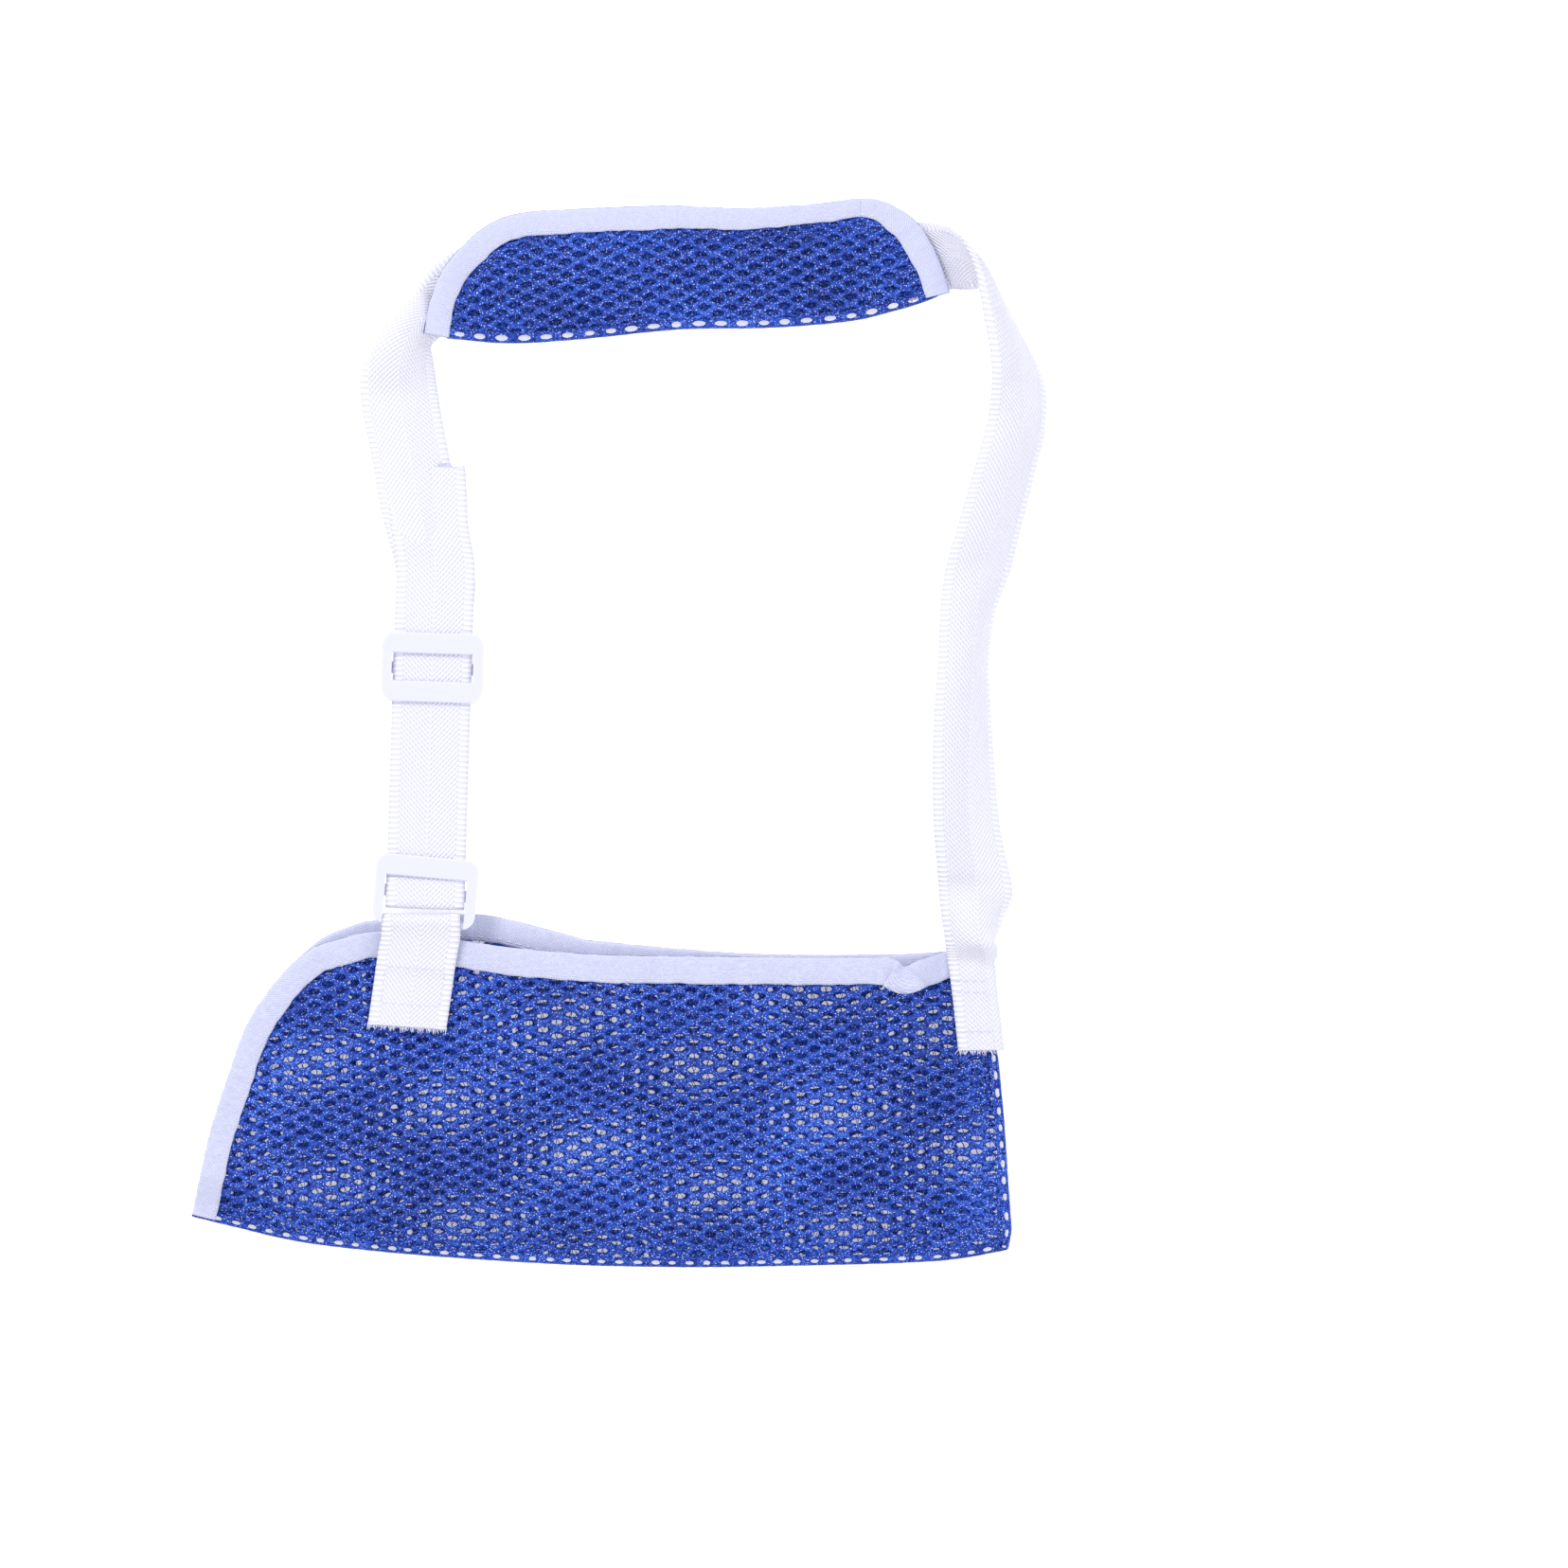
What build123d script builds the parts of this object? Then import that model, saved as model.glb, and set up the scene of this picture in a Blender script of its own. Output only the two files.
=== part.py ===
from build123d import *
import os
from math import acos, asin, cos, degrees, hypot, radians, sin, tan

# Arm sling laid flat, front face up. Millimetres. +X runs from the open end of the pouch to
# its elbow end, +Y from the pouch to the shoulder pad, +Z up off the resting plane.
# The origin is the centre of the pouch's back face, on the resting plane.

# ---- driving dimensions -------------------------------------------------------------------
MESH_T = 0.6  # knitted mesh
BACK_T = 0.8  # back panel with its turned seam allowance
TAPE_T = 0.5  # one leg of the binding tape
TAPE_W = 9.2  # width of the binding seen from one side
GAP = 0.1  # clearance between stacked layers of one body
WEB_W = 23.9  # webbing width
WEB_T = 0.8  # webbing thickness
THREAD_T = 0.3  # thread standing on a surface
THREAD_W = 0.5

RIM = 13.5  # border of the back panel that stands clear of the resting plane
RIM_Z = 1.0  # underside of that border
MARGIN_Z = 1.9  # underside of the front panel's flat margin
VAULT_TOP = 8.4  # outer face of the front panel over the arm cavity
VAULT_RUN = 9.0  # horizontal length of the vault's slope
MARGIN_LAP = 1.2  # how far the front panel's flat margin runs under the vault
STEP_W = 1.0  # wall between the back panel's floor and its raised border
SEAM_INSET = 3.0  # closed seam's thread from the edge
BINDING_SEAM = TAPE_W - 2.4  # binding's thread from the panel's edge
LIP = 0.6  # how far the binding stands out past the panel's edge

# Pouch outline, from the lower corner of the open end round to the same corner.
TIP = (-125.2, -33.0)
OPEN_END_MID = (-118.3, -5.8)
SHOULDER_START = (-108.7, 24.0)
BACK_SHOULDER_MID = (-94.9, 44.4)
BACK_SHOULDER_END = (-68.8, 57.2)
BACK_PEAK_MID = (-50.0, 59.4)
BACK_PEAK_END = (-30.1, 57.6)
BACK_DIP_MID = (9.5, 49.8)
BACK_DIP_END = (49.1, 46.9)
FRONT_SHOULDER_MID = (-93.9, 43.0)
FRONT_SHOULDER_END = (-68.8, 53.9)
FRONT_DIP_MID = (-33.5, 49.6)
FRONT_DIP_END = (1.7, 46.8)
MOUTH_END = (104.6, 47.2)
ELBOW_TOP = (119.6, 43.4)
ELBOW_MID = (121.4, 3.0)
ELBOW_LOW = (124.6, -38.5)
ELBOW_CORNER_MID = (124.1, -42.4)
BOTTOM_END = (121.5, -44.2)
BOTTOM_MID = (0.0, -48.3)

# Plan region that holds the open edges, from the open end's corner to the mouth's far end.
OPEN_ZONE_START = [
    (-150, -25.0), (-115.2, -29.6), (-114.0, -25.0), (-100, -20), (-90, 20), (-40, 32),
]
TAPE_END_X = 101.5
FRONT_TAPE_START = 4.0  # how far above the back tape the front tape starts

# Foot of the vault along the closed edges, run out far past the open ones.
FAR = 60.0
VAULT_FOOT = [
    (TIP[0] - FAR, -22.5), (-60.0, -38.5), (20.0, -43.0),
    (107.0, -40.0), (104.0, 110.0), (TIP[0] - FAR, 110.0),
]

# Shoulder pad outline.
PAD_LOW_LEFT = (-53.2, 235.3)
PAD_LEFT_MID = (-48.2, 254.8)
PAD_TOP_LEFT = (-25.1, 272.8)
PAD_TOP_MID = (22.0, 274.6)
PAD_TOP_RIGHT = (77.7, 277.0)
PAD_CORNER_MID = (88.6, 275.4)
PAD_RIGHT_TOP = (94.0, 270.0)
PAD_LOW_RIGHT = (100.6, 246.6)
PAD_LOW_MID = (38.0, 237.2)
PAD_LAP_X = 76.0  # where the pad's two tapes lap
PAD_Z = 1.8  # underside of the pad's mesh
PAD_T = 2.0  # folded mesh, both layers
PAD_TAPE_W = 7.8
FOLD_WALL = 1.0  # cloth at the fold of the pad

# Buckle and slider mouldings.
BUCKLE_W = 31.2
BUCKLE_H = 21.2
RAIL_W = 3.2
RAIL_OVERLAP = 1.0
OUTER_BAR = 6.4
CENTRE_BAR = 3.6
PIVOT_R = 1.2  # round bar that turns in the tab's loop
PIVOT_CLEAR = 0.3  # running clearance of that bar
TAB_LOOP_R = 2.1  # loop of the tab, at mid thickness
BAR_T = 1.5
CENTRE_BAR_AT = 9.0  # from the pivot bar's axis to the centre bar's axis
LAYER_PITCH = 0.9  # spacing of the two webbing layers

# Hinge line of the strap: through the buckle's pivot bar and the bend above the sewn end.
PIVOT = Vector(-54.3, 56.7, 11.1)
ELBOW_BEND = Vector(113.9, 41.4, 3.3)
STRAP_TILT = radians(1.6)  # plan angle of the doubled strap from +Y towards +X
STRAP_SLOPE = radians(4.3)  # fall of the doubled strap towards the resting plane
STACK_END = 100.0  # length of the straight doubled strap past the centre bar
SLIDER_AT = 68.7  # slider's centre past the centre bar
TAIL_TIP = (-53.3, 195.9, 2.1)

# Strap route seen from above, from the doubled strap to the elbow: x, y, visible width and
# which edge is lifted (0 lies flat, +1 lifts the outer edge, -1 the edge at the neck opening).
STRAP_ROUTE = [
    (-53.9, 178.0, 23.9, 0), (-57.6, 195.5, 23.9, 0), (-61.2, 215.0, 23.3, 1),
    (-61.2, 228.0, 23.0, 1), (-56.4, 234.9, 23.9, 0), (-48.0, 243.3, 23.9, 0),
    (-37.9, 249.9, 23.9, 0), (-21.0, 254.3, 23.9, 0), (6.9, 256.0, 23.9, 0),
    (47.0, 256.9, 23.9, 0), (84.0, 257.9, 23.9, 0), (101.0, 257.6, 23.9, 0),
    (106.5, 256.2, 23.9, 0), (112.8, 252.6, 21.0, -1), (118.5, 246.0, 17.5, -1), (122.5, 238.0, 15.5, -1),
    (125.4, 229.0, 15.0, -1), (127.0, 219.5, 16.5, -1), (124.3, 198.5, 18.5, -1),
    (117.3, 173.1, 19.4, -1), (111.8, 153.2, 17.8, -1), (110.1, 129.5, 16.5, -1),
    (110.4, 98.8, 19.0, -1), (113.2, 71.5, 21.5, -1),
]
REST_CLEAR = 0.05  # lowest edge of the strap above the resting plane
LAP = 0.5  # overlap of joined strap stretches
LOOP_BACK = 2.2  # how far the fold's centre lies before the centre bar's axis
LOOP_R = 0.8 + 0.3 + WEB_T / 2  # fold round the centre bar, at mid thickness
BEND_GAP = 2.0  # distance of each strap end from the hinge line
BUNDLE_W = 13.6  # strap folded lengthwise at the elbow
BUNDLE_T = 1.6
BUNDLE_REACH = 4.0  # length of the bundle past the bend
BUNDLE_SHIFT = 1.2
OPENING_W = 17.0  # strap half unfolded
OPENING_T = 1.2
OPENING_Z = 2.2
OPENING_REACH = 13.0
SEWN_END_Y = 17.6
SEWN_LEG = 12.0
SEWN_EDGE_X = 106.5
SEWN_STITCH_X = (110.6, 117.8)
SEWN_STITCH_Y = (20.0, 24.0, 35.5)


# ---- helpers ------------------------------------------------------------------------------
def slab(face, z_low, z_high):
    """A flat plate on the given plan face between two heights."""
    return extrude(Pos(0, 0, z_low) * face, amount=z_high - z_low)


def grown(face, distance):
    """The plan face with its edge moved out, or in where the distance is negative."""
    return offset(face, amount=distance)


def band(face, outer, inner):
    """The plan strip between two distances inside the edge of a face."""
    edge = face if outer == 0 else grown(face, -outer)
    return edge - grown(face, -inner)


def polygon(points):
    """A plan face with straight sides."""
    return make_face(Polyline(*points, close=True))


def vault_line(shift):
    """The foot of the vault, moved out by a distance or in where it is negative."""
    return offset(polygon(VAULT_FOOT), amount=shift, kind=Kind.INTERSECTION)


def vault(layer):
    """The block under the vaulted front panel, grown by a layer's thickness."""
    run = hypot(VAULT_RUN, VAULT_TOP - MARGIN_Z)
    slope = asin((VAULT_TOP - MARGIN_Z) / run)
    foot_shift = layer / sin(slope)
    top_shift = foot_shift - layer / tan(slope) - VAULT_RUN
    foot = vault_line(foot_shift) if layer else polygon(VAULT_FOOT)
    top = vault_line(top_shift)
    return loft([Pos(0, 0, MARGIN_Z) * foot, Pos(0, 0, VAULT_TOP + layer) * top], ruled=True)


def strip(points, thickness):
    """A closed outline that follows an open line of points at a constant thickness."""
    left = []
    right = []
    for i, (x, y) in enumerate(points):
        before = points[max(i - 1, 0)]
        after = points[min(i + 1, len(points) - 1)]
        dx = after[0] - before[0]
        dy = after[1] - before[1]
        length = hypot(dx, dy)
        left.append((x - dy / length * thickness / 2, y + dx / length * thickness / 2))
        right.append((x + dy / length * thickness / 2, y - dx / length * thickness / 2))
    return polygon(left + right[::-1])


def arc_points(centre, radius, start, end, count):
    """Points along an arc in a side view; angles in degrees."""
    angles = [radians(start + (end - start) * i / count) for i in range(count + 1)]
    return [(centre[0] + radius * cos(a), centre[1] + radius * sin(a)) for a in angles]


def across(plane, outline, width):
    """A side-view outline, drawn along the plane's Y and Z, made as wide as a webbing."""
    side = Plane(origin=plane.origin, x_dir=plane.y_dir, z_dir=plane.x_dir)
    return extrude(side * outline, amount=width / 2, both=True)


def quad(centre, side, normal, width, thickness):
    """The rectangular section of a webbing."""
    half = side * (width / 2)
    rise = normal * (thickness / 2)
    low = [centre - half - rise, centre + half - rise]
    high = [centre + half + rise, centre - half + rise]
    return Wire.make_polygon(low + high)


def bars(plane, runs, height):
    """Straight lines of stitching on a plane, each from one point to another."""
    lines = []
    for (x0, y0), (x1, y1) in runs:
        length = hypot(x1 - x0, y1 - y0)
        turn = degrees(acos((x1 - x0) / length)) * (1 if y1 >= y0 else -1)
        middle = Pos((x0 + x1) / 2, (y0 + y1) / 2, height + THREAD_T / 2)
        place = middle * Rot(0, 0, turn)
        lines.append(plane.location * place * Box(length, THREAD_W, THREAD_T))
    return lines


def box_stitch(width, low, high):
    """Four sides of a sewn rectangle, kept apart at the corners."""
    half = width / 2
    return [
        ((-half, low), (half, low)),
        ((-half, high), (half, high)),
        ((-half, low + 1.0), (-half, high - 1.0)),
        ((half, low + 1.0), (half, high - 1.0)),
    ]


# ---- frames -------------------------------------------------------------------------------
HINGE_DIR = (ELBOW_BEND - PIVOT).normalized()
STRAP_DIR = Vector(
    sin(STRAP_TILT) * cos(STRAP_SLOPE), cos(STRAP_TILT) * cos(STRAP_SLOPE), -sin(STRAP_SLOPE)
)
NORMAL = HINGE_DIR.cross(STRAP_DIR).normalized()
BUCKLE_PLANE = Plane(origin=PIVOT, x_dir=HINGE_DIR, z_dir=NORMAL)
CENTRE_BAR_POINT = PIVOT + BUCKLE_PLANE.y_dir * CENTRE_BAR_AT
STRAP_PLANE = Plane(origin=CENTRE_BAR_POINT, x_dir=STRAP_DIR.cross(NORMAL), z_dir=NORMAL)
SLIDER_POINT = CENTRE_BAR_POINT + STRAP_DIR * SLIDER_AT
SLIDER_PLANE = Plane(origin=SLIDER_POINT, x_dir=STRAP_PLANE.x_dir, z_dir=NORMAL)
TAB_PLANE = Plane(origin=PIVOT, x_dir=(HINGE_DIR.X, HINGE_DIR.Y, 0), z_dir=(0, 0, 1))


# ---- pouch --------------------------------------------------------------------------------
def closed_edges():
    """The pouch's edges from the elbow's top, round the bottom, to the open end's corner."""
    return [
        ThreePointArc(ELBOW_TOP, ELBOW_MID, ELBOW_LOW),
        ThreePointArc(ELBOW_LOW, ELBOW_CORNER_MID, BOTTOM_END),
        ThreePointArc(BOTTOM_END, BOTTOM_MID, TIP),
        ThreePointArc(TIP, OPEN_END_MID, SHOULDER_START),
    ]


def back_outline():
    edges = closed_edges() + [
        ThreePointArc(SHOULDER_START, BACK_SHOULDER_MID, BACK_SHOULDER_END),
        ThreePointArc(BACK_SHOULDER_END, BACK_PEAK_MID, BACK_PEAK_END),
        ThreePointArc(BACK_PEAK_END, BACK_DIP_MID, BACK_DIP_END),
        Line(BACK_DIP_END, MOUTH_END),
        Line(MOUTH_END, ELBOW_TOP),
    ]
    return make_face(edges)


def front_outline():
    edges = closed_edges() + [
        ThreePointArc(SHOULDER_START, FRONT_SHOULDER_MID, FRONT_SHOULDER_END),
        ThreePointArc(FRONT_SHOULDER_END, FRONT_DIP_MID, FRONT_DIP_END),
        Line(FRONT_DIP_END, MOUTH_END),
        Line(MOUTH_END, ELBOW_TOP),
    ]
    return make_face(edges)


def open_zone(end_x):
    """A plan region that holds the open edges and none of the closed ones."""
    return polygon(OPEN_ZONE_START + [(end_x, 32), (end_x, 80), (-150, 80)])


def front_zone(end_x):
    """The same for the front panel, whose tape starts a little higher."""
    return open_zone(end_x) & Pos(0, FRONT_TAPE_START) * open_zone(end_x)


def closed_zone():
    """A plan region that holds the closed edges."""
    return polygon([(-112, -60), (-112, -20), (90, -20), (100, 38), (150, 38), (150, -60)])


def seam_thread(zone):
    """The stitching inside the turned seam, sunk into the back panel's border."""
    line = band(back_outline(), SEAM_INSET, SEAM_INSET + THREAD_W) & zone
    return slab(line, RIM_Z + BACK_T - THREAD_T, RIM_Z + BACK_T)


def bottom_zone():
    return closed_zone() & Pos(0, -30) * Rectangle(226, 40)


def elbow_zone():
    return closed_zone() & Pos(125, 0) * Rectangle(18, 76)


def back_panel():
    outline = back_outline()
    floor = slab(grown(outline, -RIM), 0, BACK_T)
    step = slab(band(outline, RIM - STEP_W, RIM), 0, RIM_Z + BACK_T)
    border = slab(band(outline, 0, RIM - STEP_W), RIM_Z, RIM_Z + BACK_T)
    groove_line = band(outline, SEAM_INSET - GAP, SEAM_INSET + THREAD_W + GAP)
    groove_plan = groove_line & (bottom_zone() + elbow_zone())
    top = RIM_Z + BACK_T
    groove = slab(groove_plan, top - THREAD_T - GAP, top + GAP)
    return floor + step + border - groove


def front_panel():
    outline = front_outline()
    shell = (vault(0) - vault(-MESH_T)) & slab(outline, 0, 20)
    margin = slab(outline - vault_line(-MARGIN_LAP), MARGIN_Z, MARGIN_Z + MESH_T)
    return shell + margin


def back_binding():
    outline = back_outline()
    tape = grown(outline, LIP) - grown(outline, LIP - TAPE_W)
    low = RIM_Z - GAP
    high = RIM_Z + BACK_T + GAP
    whole = slab(tape & open_zone(TAPE_END_X), low - TAPE_T, high + TAPE_T)
    return whole - slab(grown(outline, GAP), low, high)


def front_binding():
    outline = front_outline()
    zone = front_zone(TAPE_END_X)
    tape = slab((grown(outline, LIP) - grown(outline, LIP - TAPE_W)) & zone, 0, 20)
    whole = (vault(GAP + TAPE_T) - vault(-MESH_T - GAP - TAPE_T)) & tape
    return whole - ((vault(GAP) - vault(-MESH_T - GAP)) & slab(grown(outline, GAP), 0, 20))


def back_binding_stitching():
    line = band(back_outline(), BINDING_SEAM, BINDING_SEAM + THREAD_W) & open_zone(TAPE_END_X - 1.5)
    top = RIM_Z + BACK_T + GAP + TAPE_T
    return slab(line, top, top + THREAD_T)


def front_binding_stitching():
    zone = front_zone(TAPE_END_X - 1.5)
    line = slab(band(front_outline(), BINDING_SEAM, BINDING_SEAM + THREAD_W) & zone, 0, 20)
    return (vault(GAP + TAPE_T + THREAD_T) - vault(GAP + TAPE_T)) & line


def buckle_tab():
    """Webbing folded round the pivot bar, both legs sewn to the front panel."""
    panel = VAULT_TOP - PIVOT.Z
    low = panel + GAP + WEB_T / 2
    over = low + TAPE_T + GAP + THREAD_T
    legs_apart = WEB_T + GAP
    lower_leg = [(-30.0, low), (-16.0, low), (-13.8, over), (-4.2, over)]
    loop = arc_points((0, 0), TAB_LOOP_R, -96, 104, 16)
    upper_leg = [
        (-11.0, over + legs_apart), (-14.6, over + legs_apart),
        (-17.0, low + legs_apart), (-33.0, low + legs_apart),
    ]
    folded = across(TAB_PLANE, strip(lower_leg + loop + upper_leg, WEB_T), WEB_W)
    bore = Rot(0, 90, 0) * Cylinder(PIVOT_R + PIVOT_CLEAR, BUCKLE_W)
    return folded - BUCKLE_PLANE.location * bore


def tab_stitching():
    top = VAULT_TOP - PIVOT.Z + 2 * (GAP + WEB_T)
    return bars(TAB_PLANE, box_stitch(18.0, -29.0, -19.0), top)


def strap_sewn_end():
    """The strap's end, folded lengthwise over the pouch's elbow edge."""
    outline = front_outline()
    hinge_side = ELBOW_BEND.Y - BEND_GAP
    middle = (SEWN_END_Y + hinge_side) / 2
    window = Pos(SEWN_EDGE_X + 10, middle) * Rectangle(20, hinge_side - SEWN_END_Y)
    plan = (grown(outline, GAP + WEB_T) - grown(outline, -SEWN_LEG)) & window
    low = RIM_Z - GAP
    high = MARGIN_Z + MESH_T + GAP
    return slab(plan, low - WEB_T, high + WEB_T) - slab(grown(outline, GAP), low, high)


def strap_end_stitching():
    top = MARGIN_Z + MESH_T + GAP + WEB_T
    left, right = SEWN_STITCH_X
    return bars(Plane.XY, [((left, y), (right, y)) for y in SEWN_STITCH_Y], top)


# ---- mouldings ----------------------------------------------------------------------------
def moulding(bar_specs, z_low, z_high, y_low):
    """A three-bar moulding: two side rails and bars of (y, width, z, thickness)."""
    centre_y = y_low + BUCKLE_H / 2
    depth = z_high - z_low
    block = Pos(0, centre_y, z_low) * extrude(RectangleRounded(BUCKLE_W, BUCKLE_H, 4.0), amount=depth)
    opening = Pos(0, centre_y, z_low + depth / 2) * Box(BUCKLE_W - 2 * RAIL_W, BUCKLE_H + 2, depth + 2)
    rails = []
    for rail in (block - opening).solids():
        outer = [e for e in rail.edges() if abs(e.center().X) > BUCKLE_W / 2 - RAIL_W + 0.2]
        rails.append(fillet(outer, 0.6))
    whole = rails[0] + rails[1]
    for y, width, z, thickness in bar_specs:
        bar = Pos(0, y, z) * Box(BUCKLE_W - 2 * RAIL_W + 2 * RAIL_OVERLAP, width, thickness)
        whole += fillet(bar.edges().filter_by(Axis.X), 0.55)
    return whole


def lower_buckle():
    specs = [
        (CENTRE_BAR_AT, CENTRE_BAR, 0.0, 1.6),
        (BUCKLE_H - PIVOT_R - OUTER_BAR / 2, OUTER_BAR, 1.9, BAR_T),
    ]
    pivot = Rot(0, 90, 0) * Cylinder(PIVOT_R, BUCKLE_W - 2 * RAIL_W + 2 * RAIL_OVERLAP)
    return BUCKLE_PLANE.location * (moulding(specs, -PIVOT_R, 2.65, -PIVOT_R) + pivot)


def upper_slider():
    outer_z = LAYER_PITCH / 2 + WEB_T / 2 + 0.25 + BAR_T / 2
    half = BUCKLE_H / 2
    specs = [
        (-half + OUTER_BAR / 2, OUTER_BAR, outer_z, BAR_T),
        (0.0, CENTRE_BAR, -outer_z, BAR_T),
        (half - OUTER_BAR / 2, OUTER_BAR, outer_z, BAR_T),
    ]
    reach = outer_z + BAR_T / 2
    return SLIDER_PLANE.location * moulding(specs, -reach, reach, -half)


# ---- strap --------------------------------------------------------------------------------
def ribbon(stations):
    """A ruled loft through webbing sections."""
    return Solid.make_loft([quad(*station) for station in stations], ruled=True)


def flat_right(along):
    """The horizontal direction to the right of a line of travel."""
    return Vector(along.Y, -along.X, 0).normalized()


def route_stations():
    """Sections of the strap along its route, each resting on its lower edge."""
    stations = []
    last = len(STRAP_ROUTE) - 1
    for i, (x, y, seen, lifted) in enumerate(STRAP_ROUTE):
        before = STRAP_ROUTE[max(i - 1, 0)]
        after = STRAP_ROUTE[min(i + 1, last)]
        along = Vector(after[0] - before[0], after[1] - before[1], 0).normalized()
        bank = acos(min(seen / WEB_W, 1.0)) * lifted
        side = flat_right(along) * cos(bank) - Vector(0, 0, sin(bank))
        rest = WEB_W / 2 * abs(sin(bank)) + WEB_T / 2 * cos(bank) + REST_CLEAR
        stations.append((Vector(x, y, rest), side, side.cross(along), WEB_W, WEB_T))
    return stations


def strap_stack():
    """The doubled strap: both layers and the fold round the buckle's centre bar."""
    half = LAYER_PITCH / 2
    loop = arc_points((-LOOP_BACK, 0), LOOP_R, 110, 250, 12)
    outward = [(STACK_END, half), (4.8, half), (2.8, LOOP_R)]
    back = [(2.8, -LOOP_R), (4.8, -half), (STACK_END, -half)]
    return across(STRAP_PLANE, strip(outward + loop + back, WEB_T), WEB_W)


def strap_tail(end):
    """The loose end that lies over the back layer."""
    upper = end + NORMAL * (LAYER_PITCH / 2)
    side = STRAP_PLANE.x_dir
    way = Vector(TAIL_TIP[0] - end.X, TAIL_TIP[1] - end.Y, 0)
    return ribbon([
        (upper - STRAP_DIR * LAP, side, NORMAL, WEB_W, WEB_T),
        (upper, side, NORMAL, WEB_W, WEB_T),
        (Vector(*TAIL_TIP), flat_right(way), Vector(0, 0, 1), WEB_W, WEB_T),
    ])


def strap_run(end):
    """The strap from the doubled stretch, behind the pad and down to the elbow bend."""
    lower = end - NORMAL * (LAYER_PITCH / 2)
    side = STRAP_PLANE.x_dir
    sections = [
        (lower - STRAP_DIR * LAP, side, NORMAL, WEB_W, WEB_T),
        (lower, side, NORMAL, WEB_W, WEB_T),
    ]
    sections += route_stations()
    down = Vector(HINGE_DIR.Y, -HINGE_DIR.X, 0).normalized()
    up = Vector(0, 0, 1)
    bundle_z = MARGIN_Z + MESH_T + 2 * GAP + BUNDLE_T / 2
    bend = Vector(ELBOW_BEND.X - BUNDLE_SHIFT, ELBOW_BEND.Y, bundle_z) - down * BEND_GAP
    opening = Vector(bend.X + 0.6, bend.Y, OPENING_Z) - down * OPENING_REACH
    sections.append((opening, flat_right(down), up, OPENING_W, OPENING_T))
    sections.append((bend - down * BUNDLE_REACH, flat_right(down), up, BUNDLE_W, BUNDLE_T))
    sections.append((bend, flat_right(down), up, BUNDLE_W, BUNDLE_T))
    return ribbon(sections)


def shoulder_strap():
    """One length of webbing: elbow bundle, run behind the pad, buckle loop and tail."""
    end = CENTRE_BAR_POINT + STRAP_DIR * STACK_END
    return strap_stack() + strap_tail(end) + strap_run(end)


# ---- shoulder pad -------------------------------------------------------------------------
def pad_outline():
    return make_face([
        ThreePointArc(PAD_LOW_LEFT, PAD_LEFT_MID, PAD_TOP_LEFT),
        ThreePointArc(PAD_TOP_LEFT, PAD_TOP_MID, PAD_TOP_RIGHT),
        ThreePointArc(PAD_TOP_RIGHT, PAD_CORNER_MID, PAD_RIGHT_TOP),
        Line(PAD_RIGHT_TOP, PAD_LOW_RIGHT),
        ThreePointArc(PAD_LOW_RIGHT, PAD_LOW_MID, PAD_LOW_LEFT),
    ])


def pad_zone(low_x, high_x):
    """The part of the plane that holds the pad's bound edges between two places."""
    return polygon([(low_x, 231), (low_x, 290), (high_x, 290), (high_x, 231)]) - pad_fold_zone()


def pad_fold_zone():
    """The plan region along the pad's folded lower edge."""
    return polygon([(-45.0, 225), (-43.0, 245), (40, 248), (90, 252), (98.0, 243), (98, 225)])


def pad_mesh():
    """Mesh folded double along the lower edge, its two layers open to the other edges."""
    outline = pad_outline()
    open_edges = (grown(outline, 3.0) - grown(outline, -3.0)) & pad_zone(-80, 130)
    hollow = Pos(0, FOLD_WALL) * outline + open_edges
    return slab(outline, PAD_Z, PAD_Z + PAD_T) - slab(hollow, PAD_Z + MESH_T, PAD_Z + PAD_T - MESH_T)


def pad_tape(zone):
    """A length of tape bound round the pad's edge."""
    outline = pad_outline()
    tape = (grown(outline, LIP) - grown(outline, LIP - PAD_TAPE_W)) & zone
    low = PAD_Z - GAP
    high = PAD_Z + PAD_T + GAP
    return slab(tape, low - TAPE_T, high + TAPE_T) - slab(grown(outline, GAP), low, high)


def pad_binding():
    return pad_tape(pad_zone(-80, PAD_LAP_X))


def pad_end_binding():
    return pad_tape(pad_zone(PAD_LAP_X + GAP, 130))


def pad_binding_stitching():
    line = band(pad_outline(), PAD_TAPE_W - 2.0, PAD_TAPE_W - 2.0 + THREAD_W) & pad_zone(-80, 130)
    top = PAD_Z + PAD_T + GAP + TAPE_T
    return slab(line, top, top + THREAD_T)


def pad_tack_stitching():
    """Bar tacks that hold the pad's ends to the strap behind it."""
    low = WEB_T + REST_CLEAR
    high = PAD_Z - GAP - TAPE_T
    tack = Box(THREAD_W, 14.0, high - low)
    places = [(-42.5, 250.0), (-40.5, 250.0), (93.5, 257.5), (95.5, 257.5)]
    return [Pos(x, y, (low + high) / 2) * tack for x, y in places]


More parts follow.
